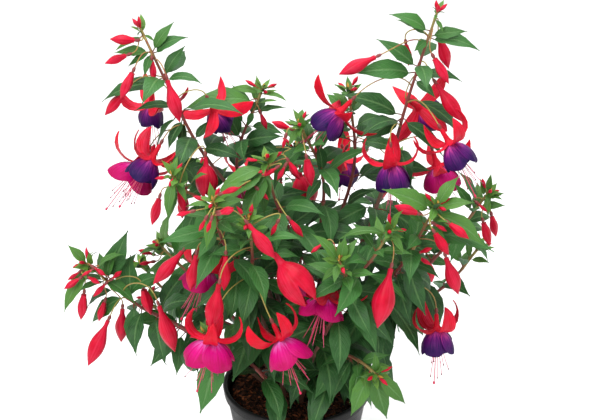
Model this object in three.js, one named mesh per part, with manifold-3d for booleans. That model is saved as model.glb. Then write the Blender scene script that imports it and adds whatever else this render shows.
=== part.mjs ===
// Fuchsia in a tapered nursery pot, with leafy stems, hanging buds and open blooms.
// Millimetres, +Z up, origin at the centre of the pot's flat base, -Y is the front.
import * as THREE from 'three';
import { mergeVertices } from 'three/addons/utils/BufferGeometryUtils.js';
import Module from 'manifold-3d';

const wasm = await Module();
wasm.setup();
const { Manifold } = wasm;

// Pot
const POT_HEIGHT = 120;
const RIM_RADIUS = 70;
const WALL_TOP_RADIUS = 66.5;
const BASE_RADIUS = 48;
const POT_WALL = 1.8;
const POT_FLOOR = 2.4;
const RIM_BAND = 10;
const RIM_SLOPE = 1;
const LIP_WIDTH = 4.6;
const POT_SIDES = 24;
const DRAIN_HOLES = 6;
const DRAIN_RADIUS = 4.5;
const DRAIN_CIRCLE = 33;
const DRAIN_SIDES = 6;

// Bark compost
const SOIL_TOP = 110;
const SOIL_RISE = 1.2;
const SOIL_EDGE_DROP = 3;
const SOIL_EDGE_WIDTH = 5;
const CHIP_COUNT = 10;
const CHIP_LENGTH = [8, 15];
const CHIP_WIDTH = [5, 9];
const CHIP_THICK = [3, 5];
const CHIP_INNER = 14;
const CHIP_SPREAD = 42;
const CHIP_TURN = 2.4;
const CHIP_LIFT = 0.6;

// Clearances between solids
const GAP = 0.3;
const HOLE_CLEAR = 0.5;
const LEAF_CLEAR = 0.4;

// Wood of the stems and side shoots
const FOOT_BOTTOM = 86;
const FOOT_TOP = 114;
const STEM_SIDES = 4;
const STEM_FOOT_RADIUS = 2.4;
const SHOOT_FOOT_RADIUS = 1.7;
const STEM_TIP_RADIUS = 1.4;
const JOINT_STEP = 42;
const TIP_POINT = 3;
const SPAN_STEPS = 6;

// Whorls of two leaves, by the distance below the tip of their axis
const FIRST_WHORL = 6;
const WHORL_STEP = 17;
const WHORL_WIDENING = 0.34;
const BARE_FOOT = 8;
const GROWN_BELOW = 60;

// Leaves: lengths, then angles in degrees, young and added when grown, with their spreads
const LEAF_YOUNG = 14;
const LEAF_GROWTH = 0.62;
const LEAF_MAX = 56;
const LEAF_SIZES = [0.9, 1.06];
const LEAF_WIDTH = 0.215;
const LEAF_THICK = 1.2;
const LEAF_FOLD = 0.16;
const SMALL_LEAF = 42;
const SMALL_LEAF_STATIONS = [[0.42, 1]];
const LARGE_LEAF_STATIONS = [[0.3, 1], [0.66, 0.7]];
const STALK_PART = 0.2;
const STALK_HALF = 0.5;
const FACE_UP = 0.65;
const FIRST_AZIMUTH = 45;
const AZIMUTH_SPREAD = 14;
const PITCH_YOUNG = 30;
const PITCH_GAIN = 48;
const PITCH_SPREAD = 9;
const ROLL_SPREAD = 26;
const BEND_YOUNG = 0.3;
const BEND_GAIN = [0.55, 1.15];

// Other ways to set a leaf that would touch something: turn and droop in degrees, and size
const LEAF_TRIES = [
  [0, 0, 1], [22, 0, 1], [-22, 0, 1], [42, 0, 1], [-42, 0, 1], [0, 18, 0.86], [30, 18, 0.86], [-30, 18, 0.86],
];

// Flower stalks and their ovaries
const STALK_SIDES = 3;
const AXIL_STEP = 8;
const STALK_LENGTH = 38;
const STALK_RADIUS = 0.65;
const STALK_PARTS = [0, 0.35, 0.75];
const STALK_RISE = [0.75, 0.65];
const STALK_PULL = 0.42;
const AXIL_ABOVE = 6;
const OVARY_LENGTH = 6;
const OVARY_RADII = [[0.5, 1.6], [1, 1]];

// Closed buds: parts of the length and radii; a null radius is the bud's swell of its length
const LARGE_BUD = 28;
const BUD_SWELL = 0.14;
const SMALL_BUD_SWELL = 0.02;
const LARGE_BUD_STATIONS = [[0, 1.3], [0.28, 2.5], [0.62, null], [1, 0]];
const SMALL_BUD_STATIONS = [[0, 1], [0.6, null], [1, 0]];
const CLOSED_SIDES = 6;

// Calyx: distances below the top of the tube and radii, then its sepals and rods
const CALYX_SIDES = 4;
const CUP_SHOULDER = 13.8;
const CUP_END = 15;
const CALYX_RINGS = [[0, 1.7], [10.5, 2.7], [CUP_SHOULDER, 4.4], [CUP_END, 3.2]];
const SEPAL_COUNT = 4;
const SEPAL_LENGTH = 40;
const SEPAL_STATIONS = [[0, 1.3], [0.32, 5], [0.68, 4], [1, 0]];
const SEPAL_LOOK = { fold: 0.2, thick: 1.3 };
const SEPAL_OPENING = 62;
const SEPAL_ROOT = [2.4, 1.6];
const RODS = [{ reach: 54, spread: 2 }, { reach: 44, spread: 6 }, { reach: 48, spread: 6 }];
const ROD_ROOT = [14, 1.2];
const ROD_RADII = [0.45, 0.85];
const ROD_POINT = 3;

// Corolla: petal ring around the stamens, with a hem lifted at four places
const COROLLA_START = 15.5;
const COROLLA_COLLAR = 3.7;
const PETAL_THICK = 0.9;
const PETAL_COUNT = 4;
const HEM_LIFT = 0.8;
const INSIDE_FOLD = 0.55;
const COROLLA_FORMS = {
  bell: { flare: 9, drop: 21, count: 8 },
  skirt: { flare: 19, drop: 18, count: 12 },
};

const COLOURS = {
  pot: [0x1d1e20, 0.6],
  soil: [0x3a241b, 0.95],
  leafy: [0x2f6b3b, 0.6],
  calyx: [0xd8203f, 0.45],
  corolla: [0x7a1f8c, 0.5],
  closed: [0xd92343, 0.45],
};

// Leafy stems: place in the soil, points on the way up, how far below the tip leaves grow,
// and side shoots that leave the stem at a distance from its foot
const STEMS = {
  left_leader: {
    at: [-10, 6],
    leafy: 205,
    points: [[-15, 6, 160], [-30, 6, 235], [-51, 5, 305], [-88, 10, 362], [-114, 15, 420], [-135, 20, 468]],
    shoots: [{ from: 195, leafy: 60, points: [[-75, -22, 322], [-98, -40, 342], [-106, -50, 360]] }],
  },
  right_leader: {
    at: [12, 6],
    leafy: 215,
    points: [[20, 8, 160], [42, 10, 220], [63, 6, 272], [82, 14, 335], [98, 20, 401], [121, 20, 483]],
    shoots: [],
  },
  right_mid: {
    at: [8, 18],
    leafy: 170,
    points: [[12, 20, 170], [30, 26, 250], [52, 24, 335], [46, 30, 406]],
    shoots: [],
  },
  left_mid: {
    at: [-6, 20],
    leafy: 170,
    points: [[-12, 26, 170], [-34, 38, 250], [-55, 42, 328], [-31, 58, 395]],
    shoots: [],
  },
  centre: {
    at: [2, -6],
    leafy: 190,
    points: [[6, -8, 170], [16, -6, 250], [24, 0, 330], [3, -10, 390]],
    shoots: [{ from: 120, leafy: 110, points: [[0, -20, 280], [-18, -30, 325], [-27, -30, 366]] }],
  },
  front_left: {
    at: [-12, -14],
    leafy: 165,
    points: [[-20, -24, 170], [-36, -42, 225], [-50, -56, 276], [-64, -70, 309], [-70, -88, 354]],
    shoots: [{ from: 110, leafy: 90, points: [[-38, -64, 270], [-38, -80, 305], [-40, -90, 338]] }],
  },
  front_centre: {
    at: [4, -22],
    leafy: 165,
    points: [[14, -42, 170], [32, -62, 225], [44, -86, 270], [36, -108, 309]],
    shoots: [{ from: 105, leafy: 110, points: [[42, -76, 262], [64, -86, 298], [80, -84, 326]] }],
  },
  right_arm: {
    at: [18, -10],
    leafy: 160,
    points: [[34, -22, 165], [62, -36, 225], [92, -46, 270], [120, -60, 337]],
    shoots: [],
  },
  far_right: {
    at: [24, 4],
    leafy: 170,
    points: [[50, 4, 160], [92, 2, 212], [138, 0, 268], [171, 0, 319]],
    shoots: [{ from: 100, leafy: 80, points: [[110, 14, 196], [144, 26, 214], [170, 34, 246]] }],
  },
  low_right: {
    at: [22, -24],
    leafy: 85,
    points: [[30, -42, 155], [40, -62, 188], [57, -84, 194], [70, -100, 191]],
    shoots: [],
  },
  far_left: {
    at: [-24, -2],
    leafy: 170,
    points: [[-60, -6, 150], [-105, -10, 185], [-148, -12, 212], [-190, -12, 254]],
    shoots: [{ from: 84, leafy: 70, points: [[-104, 18, 164], [-126, 30, 172], [-142, 38, 188]] }],
  },
  left_low: {
    at: [-20, 10],
    leafy: 120,
    points: [[-50, 20, 165], [-90, 32, 205], [-128, 40, 245]],
    shoots: [{ from: 60, leafy: 80, points: [[-94, 44, 172], [-126, 60, 184], [-150, 70, 208]] }],
  },
  front_low: {
    at: [-10, -28],
    leafy: 100,
    points: [[-26, -46, 150], [-50, -66, 190], [-80, -80, 222]],
    shoots: [],
  },
  back_left: {
    at: [-14, 28],
    leafy: 130,
    points: [[-34, 54, 170], [-62, 80, 230], [-92, 98, 296]],
    shoots: [{ from: 55, leafy: 80, points: [[-68, 80, 178], [-102, 94, 194], [-128, 100, 218]] }],
  },
  back_right: {
    at: [16, 28],
    leafy: 130,
    points: [[36, 56, 170], [66, 82, 235], [96, 104, 305]],
    shoots: [{ from: 55, leafy: 80, points: [[74, 76, 178], [108, 88, 196], [136, 94, 222]] }],
  },
  back_centre: {
    at: [2, 36],
    leafy: 140,
    points: [[4, 66, 170], [2, 92, 235], [-2, 114, 312]],
    shoots: [],
  },
};

// Blooms by number: the stem that carries each, where its sepals spread, the middle of its
// corolla, its form, how far the sepals curl back in degrees, and its turn about its own axis
const BLOOMS = {
  bloom_01: ['left_leader', [-130, 40, 388], [-131, 40, 376], 'bell', 130, 20],
  bloom_02: ['left_leader', [-73, 20, 391], [-67, 26, 375], 'bell', 75, 50],
  bloom_03: ['left_leader', [-127, -8, 357], [-137, -16, 342], 'bell', 150, 0],
  bloom_04: ['left_leader', [-141, 18, 339], [-153, 12, 320], 'skirt', 130, 45],
  bloom_06: ['right_leader', [38, 0, 398], [27, -6, 389], 'bell', 90, 32],
  bloom_07: ['right_leader', [109, 34, 387], [122, 46, 373], 'bell', 60, 10],
  bloom_08: ['right_leader', [83, -22, 359], [85, -26, 335], 'bell', 190, 45],
  bloom_09: ['right_leader', [132, -26, 380], [141, -36, 369], 'bell', 150, 0],
  bloom_10: ['right_leader', [126, 20, 337], [132, 18, 317], 'skirt', 100, 30],
  bloom_13: ['front_left', [-80, -40, 265], [-87, -50, 250], 'skirt', 150, 15],
  bloom_14: ['front_left', [-72, -112, 236], [-76, -116, 214], 'skirt', 165, 42],
  bloom_15: ['front_left', [-14, -112, 236], [-5, -124, 221], 'skirt', 170, 0],
  bloom_17: ['front_centre', [25, -82, 260], [21, -99, 251], 'skirt', 90, 60],
  bloom_18: ['right_arm', [126, -48, 207], [127, -52, 189], 'bell', 185, 45],
  bloom_19: ['back_left', [-44, 112, 288], [-46, 116, 268], 'skirt', 150, 30],
  bloom_20: ['back_right', [44, 118, 296], [45, 123, 276], 'bell', 170, 45],
};

// Closed blooms and the largest buds, each in a node of its own: stem, top of the tube, tip, swell
const CLOSED = {
  bloom_05: ['left_leader', [-79, -25, 366], [-77, -28, 331], 0.24],
  bloom_11: ['right_mid', [44, 50, 338], [28, 46, 310], 0.24],
  bloom_12: ['left_mid', [3, 44, 322], [5, 38, 290], 0.26],
  bloom_16: ['front_left', [-19, -96, 310], [11, -112, 272], 0.26],
  bloom_21: ['back_right', [112, 92, 262], [115, 98, 226], 0.24],
  bud_01: ['right_leader', [122, 10, 420], [146, 2, 387], 0.14],
  bud_02: ['front_left', [-65, -116, 291], [-73, -122, 249], 0.14],
  bud_03: ['front_centre', [80, -98, 296], [69, -110, 244], 0.14],
  bud_04: ['far_left', [-172, -26, 202], [-192, -34, 158], 0.13],
  bud_05: ['far_left', [-121, -65, 240], [-108, -71, 196], 0.13],
};

// Hanging buds grown in one with the stem that carries them: top of the tube, tip
const BUDS = {
  left_leader: [
    [[-140, 10, 461], [-160, 2, 465]], [[-147, 4, 449], [-165, -2, 444]],
    [[-141, -6, 437], [-152, -10, 414]], [[-152, 12, 410], [-169, 10, 390]],
    [[-125, 10, 441], [-124, 8, 423]], [[-111, -6, 430], [-101, -12, 393]],
    [[-102, -42, 340], [-97, -46, 322]], [[-120, -34, 330], [-127, -38, 306]],
  ],
  right_leader: [
    [[68, 8, 446], [36, 0, 433]], [[96, 34, 447], [99, 34, 427]],
    [[126, 30, 452], [134, 30, 426]], [[119, 4, 446], [132, 0, 424]],
  ],
  centre: [
    [[9, -30, 366], [13, -34, 342]], [[-7, 0, 348], [3, -4, 334]], [[-5, -60, 322], [6, -64, 308]],
  ],
  front_left: [
    [[-99, -64, 294], [-125, -72, 266]], [[-86, -78, 298], [-92, -82, 265]],
    [[-60, -94, 306], [-62, -96, 273]], [[-40, -98, 338], [-18, -106, 310]],
    [[-48, -60, 356], [-63, -70, 353]],
  ],
  right_arm: [
    [[101, -76, 338], [82, -86, 350]], [[131, -74, 326], [147, -82, 316]],
    [[118, -82, 321], [130, -86, 302]], [[130, -62, 287], [142, -66, 252]],
  ],
  far_right: [
    [[168, -4, 291], [175, -6, 268]], [[177, 10, 290], [182, 10, 269]],
  ],
  far_left: [
    [[-193, -22, 227], [-197, -24, 201]], [[-176, -14, 214], [-182, -16, 195]],
    [[-160, -12, 206], [-163, -12, 170]], [[-139, -18, 230], [-133, -20, 204]],
  ],
  back_left: [
    [[-108, 106, 268], [-112, 110, 236]], [[-78, 112, 262], [-76, 118, 226]],
  ],
  back_right: [
    [[84, 122, 280], [82, 128, 246]], [[128, 104, 196], [134, 108, 166]],
  ],
  back_centre: [
    [[12, 130, 276], [16, 136, 238]], [[-16, 126, 268], [-22, 132, 234]],
  ],
};

const V = (x, y, z) => new THREE.Vector3(x, y, z);
const UP = V(0, 0, 1);
const LEAN = V(0.6, -0.8, 0);
const DEG = Math.PI / 180;
const FULL_TURN = 2 * Math.PI;

/** Even draw between 0 and 1 that depends only on the whole numbers given. */
function draw(...keys) {
  let mixed = 0x811C9DC5;
  for (const key of keys) {
    mixed = Math.imul(mixed ^ (key + 1), 0x9E3779B1);
    mixed ^= mixed >>> 15;
  }
  mixed = Math.imul(mixed, 0x85EBCA6B);
  mixed ^= mixed >>> 13;
  return (mixed >>> 0) / 2 ** 32;
}

/** Number from low to high by an even draw. */
const between = (low, high, ...keys) => low + (high - low) * draw(...keys);

/** Solid from loose vertices and triangles. */
function toSolid(positions, triangles) {
  return new Manifold(new wasm.Mesh({
    numProp: 3,
    vertProperties: new Float32Array(positions),
    triVerts: new Uint32Array(triangles),
  }));
}

/** Solid from a closed three.js geometry. */
function geometrySolid(geometry) {
  geometry.deleteAttribute('normal');
  geometry.deleteAttribute('uv');
  const merged = mergeVertices(geometry, 1e-4);
  const index = merged.index.array;
  const triangles = [];
  for (let i = 0; i < index.length; i += 3) {
    const [a, b, c] = index.slice(i, i + 3);
    if (a !== b && b !== c && c !== a) triangles.push(a, b, c);
  }
  return toSolid(merged.attributes.position.array, triangles);
}

/** Solid turned about Z from a profile of radius and height that starts and ends on the axis. */
function turnedSolid(profile) {
  const outline = profile.map(([radius, z]) => new THREE.Vector2(radius, z));
  return geometrySolid(new THREE.LatheGeometry(outline, POT_SIDES).rotateX(Math.PI / 2));
}

/** Closed skin through rings that run anticlockwise about the way forward; one point is a tip. */
function skin(rings) {
  const positions = [];
  const starts = [];
  for (const ring of rings) {
    starts.push(positions.length / 3);
    for (const p of ring) positions.push(p.x, p.y, p.z);
  }
  const triangles = [];
  for (let i = 0; i + 1 < rings.length; i++) {
    const [a, b] = [starts[i], starts[i + 1]];
    const [behind, ahead] = [rings[i].length, rings[i + 1].length];
    for (let k = 0; k < Math.max(behind, ahead); k++) {
      const next = (k + 1) % Math.max(behind, ahead);
      if (behind === 1) triangles.push(a, b + next, b + k);
      else if (ahead === 1) triangles.push(a + k, a + next, b);
      else triangles.push(a + k, a + next, b + next, a + k, b + next, b + k);
    }
  }
  for (let k = 1; k + 1 < rings[0].length; k++) triangles.push(0, k + 1, k);
  const end = starts.at(-1);
  for (let k = 1; k + 1 < rings.at(-1).length; k++) triangles.push(end, end + k, end + k + 1);
  return toSolid(positions, triangles);
}

/** Two unit directions square to a direction and to each other. */
function squareTo(along) {
  const first = along.clone().cross(LEAN).normalize();
  return [first, along.clone().cross(first)];
}

/** Point at a radius and an angle from a point, measured from two directions square to each other. */
function beside(point, [first, second], radius, angle) {
  return point.clone().addScaledVector(first, radius * Math.cos(angle))
    .addScaledVector(second, radius * Math.sin(angle));
}

/** Ring of points about a line of travel. */
function ring(point, along, radius, sides, spin = 0) {
  const frame = squareTo(along);
  return Array.from({ length: sides }, (_, k) =>
    beside(point, frame, radius, spin + (FULL_TURN * k) / sides));
}

/** Rings of few sides square to the way through stations of point and radius, kept from twisting. */
function carriedRings(stations, sides) {
  const at = (i) => stations[THREE.MathUtils.clamp(i, 0, stations.length - 1)].point;
  let first = null;
  return stations.map(({ point, radius }, i) => {
    if (radius === 0) return [point];
    const along = at(i + 1).clone().sub(at(i - 1)).normalize();
    if (first) first = first.clone().addScaledVector(along, -first.dot(along)).normalize();
    else [first] = squareTo(along);
    const frame = [first, along.clone().cross(first)];
    return Array.from({ length: sides }, (_, k) => beside(point, frame, radius, (FULL_TURN * k) / sides));
  });
}

/** Smooth curve through points, read by the distance walked along it. */
class Path {
  constructor(points) {
    const curve = new THREE.CatmullRomCurve3(points, false, 'catmullrom', 0.5);
    const steps = SPAN_STEPS * (points.length - 1);
    this.samples = Array.from({ length: steps + 1 }, (_, i) => curve.getPoint(i / steps));
    this.walked = [0];
    for (let i = 1; i <= steps; i++) {
      this.walked.push(this.walked[i - 1] + this.samples[i].distanceTo(this.samples[i - 1]));
    }
    this.length = this.walked[steps];
  }

  /** Point and unit direction at a distance from the start. */
  at(distance) {
    let i = 1;
    while (i < this.walked.length - 1 && this.walked[i] < distance) i++;
    const [a, b] = [this.samples[i - 1], this.samples[i]];
    const part = (distance - this.walked[i - 1]) / (this.walked[i] - this.walked[i - 1]);
    return { point: a.clone().lerp(b, part), along: b.clone().sub(a).normalize() };
  }
}

/** One growing axis, a main stem or a side shoot, as straight lengths between joints. */
class Axis {
  constructor(points, footRadius, leafy) {
    const path = new Path(points.map((p) => V(...p)));
    this.footRadius = footRadius;
    this.leafy = leafy;
    this.length = path.length;
    this.count = Math.max(2, Math.round(path.length / JOINT_STEP));
    this.joints = Array.from({ length: this.count + 1 }, (_, i) => path.at((path.length * i) / this.count));
  }

  /** Point and unit direction on the straight lengths at a distance from the foot. */
  at(distance) {
    const along = (distance * this.count) / this.length;
    const i = Math.min(Math.floor(along), this.count - 1);
    const [a, b] = [this.joints[i].point, this.joints[i + 1].point];
    return { point: a.clone().lerp(b, along - i), along: b.clone().sub(a).normalize() };
  }

  /** Rings of the wood at the joints, thicker by extra. */
  rings(extra = 0) {
    return this.joints.map(({ point, along }, i) => {
      const radius = THREE.MathUtils.lerp(this.footRadius, STEM_TIP_RADIUS, i / this.count);
      return ring(point, along, radius + extra, STEM_SIDES);
    });
  }

  /** Solid of the wood from its first rings to a point at the tip. */
  wood(firstRings) {
    const { point, along } = this.joints.at(-1);
    return skin([...firstRings, ...this.rings(), [point.clone().addScaledVector(along, TIP_POINT)]]);
  }

  /** Places of the leaf whorls, from the tip down. */
  whorls() {
    const places = [];
    const lowest = Math.min(this.leafy, this.length - BARE_FOOT);
    for (let below = FIRST_WHORL; below < lowest; below += WHORL_STEP + WHORL_WIDENING * below) {
      places.push({ below, distance: this.length - below });
    }
    return places;
  }
}

/** Main axis and side shoots of a stem. */
function growAxes(stem) {
  const main = new Axis([[...stem.at, FOOT_TOP], ...stem.points], STEM_FOOT_RADIUS, stem.leafy);
  const shoots = stem.shoots.map((shoot) => {
    const start = main.at(shoot.from).point.toArray();
    return new Axis([start, ...shoot.points], SHOOT_FOOT_RADIUS, shoot.leafy);
  });
  return [main, ...shoots];
}

/** Ring of a stem's foot in the soil. */
function footRing(stem, extra, z) {
  return ring(V(...stem.at, z), UP, STEM_FOOT_RADIUS + extra, STEM_SIDES);
}

/** Point and face direction part of the way along a circular arc that bends away from its face. */
function onArc({ foot, along, face, length, bend }, part) {
  const reach = length / bend;
  const angle = bend * part;
  return {
    point: foot.clone().addScaledVector(along, reach * Math.sin(angle))
      .addScaledVector(face, -reach * (1 - Math.cos(angle))),
    normal: face.clone().multiplyScalar(Math.cos(angle)).addScaledVector(along, Math.sin(angle)),
  };
}

/** Thin pointed blade on an arc, flat above and keeled below, its edges turned up by the fold;
    stations hold the part of the length and the half width, and stalk is a straight length before it. */
function blade(arc, stations, { fold, thick, stalk = 0 }) {
  const side = arc.along.clone().cross(arc.face);
  const section = (point, normal, half, deep) => [
    point.clone().addScaledVector(side, half).addScaledVector(normal, half * fold),
    point.clone().addScaledVector(normal, -deep),
    point.clone().addScaledVector(side, -half).addScaledVector(normal, half * fold),
  ];
  const rings = stations.map(([part, half]) => {
    const { point, normal } = onArc(arc, part);
    return half === 0 ? [point] : section(point, normal, half, thick);
  });
  if (stalk > 0) {
    const root = arc.foot.clone().addScaledVector(arc.along, -stalk);
    const keel = 1.4 * STALK_HALF;
    rings.unshift(section(root, arc.face, STALK_HALF, keel), section(arc.foot, arc.face, STALK_HALF, keel));
  }
  return skin(rings);
}

/** Arc of one leaf: its heading from azimuth and pitch about the axis, its face towards the light. */
function leafArc(axis, keys, place, [extraTurn, droop, size]) {
  const [stem, branch, whorl, turn] = keys;
  const spread = (amount, key) => between(-amount, amount, stem, branch, whorl, turn, key);
  const { point, along } = axis.at(place.distance);
  const grown = Math.min(1, place.below / GROWN_BELOW);
  const azimuth = FIRST_AZIMUTH + whorl * 90 + turn * 180 + spread(AZIMUTH_SPREAD, 1) + extraTurn;
  const pitch = (PITCH_YOUNG + PITCH_GAIN * grown + spread(PITCH_SPREAD, 2) + droop) * DEG;
  const out = beside(V(0, 0, 0), squareTo(along), 1, azimuth * DEG);
  const heading = out.multiplyScalar(Math.sin(pitch)).addScaledVector(along, Math.cos(pitch)).normalize();
  const light = UP.clone().multiplyScalar(FACE_UP).addScaledVector(along, 1 - FACE_UP);
  const side = heading.clone().cross(light).normalize();
  const face = side.clone().cross(heading).applyAxisAngle(heading, spread(ROLL_SPREAD, 3) * DEG);
  const full = Math.min(LEAF_MAX, LEAF_YOUNG + LEAF_GROWTH * place.below);
  const length = full * between(...LEAF_SIZES, stem, branch, whorl, turn, 4) * size;
  const bend = BEND_YOUNG + grown * between(...BEND_GAIN, stem, branch, whorl, turn, 5);
  const foot = point.clone().addScaledVector(heading, STALK_PART * length);
  return { foot, along: heading, face, length, bend };
}

/** Leaf solid, and its blade alone from where it leaves the stalk. */
function leaf(arc) {
  const half = arc.length * LEAF_WIDTH;
  const shape = arc.length < SMALL_LEAF ? SMALL_LEAF_STATIONS : LARGE_LEAF_STATIONS;
  const stations = [...shape.map(([part, width]) => [part, width * half]), [1, 0]];
  const look = { fold: LEAF_FOLD, thick: LEAF_THICK };
  return {
    whole: blade(arc, stations, { ...look, stalk: STALK_PART * arc.length }),
    alone: blade(arc, [[0.08, 0.25 * half], ...stations], look),
  };
}

/** Leaf axil that suits a flower: a stalk's length from its top, and not below it. */
function chooseAxil(axes, top) {
  let best = null;
  for (const axis of axes) {
    for (let below = AXIL_STEP; below < axis.leafy; below += AXIL_STEP) {
      const { point, along } = axis.at(axis.length - below);
      const miss = Math.abs(point.distanceTo(top) - STALK_LENGTH) + Math.max(0, top.z - point.z + AXIL_ABOVE);
      if (!best || miss < best.miss) best = { point, along, miss };
    }
  }
  return best;
}

/** Stations of a flower stalk that arches from an axil to the ovary above a tube. */
function stalkStations(axil, top, axis) {
  const end = top.clone().addScaledVector(axis, -(OVARY_LENGTH + GAP));
  const span = end.distanceTo(axil.point);
  const away = end.clone().sub(axil.point);
  away.addScaledVector(axil.along, -away.dot(axil.along)).normalize();
  const [sideways, onward] = STALK_RISE;
  const rise = away.multiplyScalar(sideways).addScaledVector(axil.along, onward).normalize();
  const curve = new THREE.CubicBezierCurve3(
    axil.point,
    axil.point.clone().addScaledVector(rise, STALK_PULL * span),
    end.clone().addScaledVector(axis, -STALK_PULL * span),
    end,
  );
  const stalk = STALK_PARTS.map((part) => ({ point: curve.getPoint(part), radius: STALK_RADIUS }));
  const ovary = OVARY_RADII.map(([part, radius]) => (
    { point: end.clone().addScaledVector(axis, OVARY_LENGTH * part), radius }));
  return [...stalk, ...ovary];
}

/** Stations of a closed bud from the top of its tube to its tip. */
function budStations(top, tip, swell) {
  const length = tip.distanceTo(top);
  const large = length > LARGE_BUD;
  const belly = (large ? swell : swell + SMALL_BUD_SWELL) * length;
  return (large ? LARGE_BUD_STATIONS : SMALL_BUD_STATIONS)
    .map(([part, radius]) => ({ point: top.clone().lerp(tip, part), radius: radius ?? belly }));
}

/** Tube, cup, four sepals, style and stamens in one piece. */
function calyx(top, axis, curl, spin) {
  const down = (distance) => top.clone().addScaledVector(axis, distance);
  const frame = squareTo(axis);
  const body = skin(CALYX_RINGS.map(([distance, radius]) =>
    ring(down(distance), axis, radius, CALYX_SIDES, spin + Math.PI / 4)));
  const sepals = Array.from({ length: SEPAL_COUNT }, (_, k) => {
    const out = beside(V(0, 0, 0), frame, 1, spin + (FULL_TURN * k) / SEPAL_COUNT);
    const [sine, cosine] = [Math.sin(SEPAL_OPENING * DEG), Math.cos(SEPAL_OPENING * DEG)];
    const along = out.clone().multiplyScalar(sine).addScaledVector(axis, cosine);
    const face = axis.clone().multiplyScalar(sine).addScaledVector(out, -cosine);
    const foot = down(CUP_END - SEPAL_ROOT[0]).addScaledVector(out, SEPAL_ROOT[1]);
    return blade({ foot, along, face, length: SEPAL_LENGTH, bend: curl * DEG }, SEPAL_STATIONS, SEPAL_LOOK);
  });
  const rods = RODS.map(({ reach, spread }, k) => {
    const angle = spin + Math.PI / 4 + (FULL_TURN * k) / RODS.length;
    const start = beside(down(ROD_ROOT[0]), frame, ROD_ROOT[1], angle);
    const end = beside(down(reach - ROD_POINT), frame, spread, angle);
    const run = end.clone().sub(start).normalize();
    const point = end.clone().addScaledVector(run, ROD_POINT);
    return skin([ring(start, run, ROD_RADII[0], 3), ring(end, run, ROD_RADII[1], 3), [point]]);
  });
  return Manifold.union([body, ...sepals, ...rods]);
}

/** Petal ring as one closed shell around the stamens, open below, with a lobed hem. */
function corolla(top, axis, spin, form) {
  const { flare, drop, count } = COROLLA_FORMS[form];
  const frame = squareTo(axis);
  const outside = (t) => [COROLLA_COLLAR + flare * Math.sin((t * Math.PI) / 2), COROLLA_START + drop * t];
  const inside = (t) => {
    const widening = flare * (Math.PI / 2) * Math.cos((t * Math.PI) / 2);
    const steepness = Math.hypot(widening, drop);
    const [out, down] = outside(t);
    return [out - (PETAL_THICK * drop) / steepness, down + (PETAL_THICK * widening) / steepness];
  };
  const rows = [
    () => outside(0), (hem) => outside(0.5 * hem), (hem) => outside(hem),
    (hem) => inside(INSIDE_FOLD * hem), () => inside(0),
  ];
  const positions = rows.flatMap((row) => Array.from({ length: count }, (_, k) => {
    const [out, down] = row(k % (count / PETAL_COUNT) === 0 ? HEM_LIFT : 1);
    const centre = top.clone().addScaledVector(axis, down);
    return beside(centre, frame, out, spin + (FULL_TURN * k) / count).toArray();
  })).flat();
  const triangles = [];
  for (let r = 0; r < rows.length; r++) {
    const [a, b] = [r * count, ((r + 1) % rows.length) * count];
    for (let k = 0; k < count; k++) {
      const next = (k + 1) % count;
      triangles.push(a + k, a + next, b + next, a + k, b + next, b + k);
    }
  }
  return toSolid(positions, triangles);
}

/** Pot with a rim band, tapered wall, flat floor and drain holes. */
function makePot() {
  const wall = turnedSolid([
    [0, 0], [BASE_RADIUS, 0], [WALL_TOP_RADIUS, POT_HEIGHT - RIM_BAND],
    [RIM_RADIUS - RIM_SLOPE, POT_HEIGHT - RIM_BAND], [RIM_RADIUS, POT_HEIGHT],
    [RIM_RADIUS - LIP_WIDTH, POT_HEIGHT], [BASE_RADIUS - POT_WALL, POT_FLOOR], [0, POT_FLOOR],
  ]);
  const holes = Array.from({ length: DRAIN_HOLES }, (_, k) => {
    const angle = (FULL_TURN * k) / DRAIN_HOLES;
    return geometrySolid(new THREE.CylinderGeometry(DRAIN_RADIUS, DRAIN_RADIUS, 4 * POT_FLOOR, DRAIN_SIDES)
      .rotateX(Math.PI / 2)
      .translate(DRAIN_CIRCLE * Math.cos(angle), DRAIN_CIRCLE * Math.sin(angle), 0));
  });
  return wall.subtract(Manifold.union(holes));
}

/** Bark compost with chips on top and plain holes for the stems. */
function makeSoil(axes) {
  const play = GAP / Math.cos(Math.PI / POT_SIDES);
  const wallAt = (z) => THREE.MathUtils.mapLinear(
    z, POT_FLOOR, POT_HEIGHT, BASE_RADIUS - POT_WALL, RIM_RADIUS - LIP_WIDTH) - play;
  const bottom = POT_FLOOR + GAP;
  const top = SOIL_TOP + SOIL_RISE;
  const shoulder = SOIL_TOP - SOIL_EDGE_DROP;
  const bed = turnedSolid([
    [0, bottom], [wallAt(bottom), bottom], [wallAt(shoulder), shoulder],
    [wallAt(SOIL_TOP) - SOIL_EDGE_WIDTH, top], [0, top],
  ]);
  const chips = Array.from({ length: CHIP_COUNT }, (_, k) => {
    const angle = k * CHIP_TURN;
    const radius = CHIP_INNER + CHIP_SPREAD * Math.sqrt((k + 0.5) / CHIP_COUNT);
    const sizes = [CHIP_LENGTH, CHIP_WIDTH, CHIP_THICK].map((range, i) => between(...range, k, 21 + i));
    return geometrySolid(new THREE.BoxGeometry(...sizes)
      .rotateX(between(-0.5, 0.5, k, 24))
      .rotateY(between(-0.4, 0.4, k, 25))
      .rotateZ(between(0, Math.PI, k, 26))
      .translate(radius * Math.cos(angle), radius * Math.sin(angle), top + CHIP_LIFT));
  });
  const holes = Object.entries(axes).map(([name, [main]]) => {
    const bottomRing = footRing(STEMS[name], HOLE_CLEAR, FOOT_BOTTOM - GAP);
    return skin([bottomRing, ...main.rings(HOLE_CLEAR).slice(0, 2)]);
  });
  return Manifold.union([bed, ...chips]).subtract(Manifold.union(holes));
}

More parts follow.
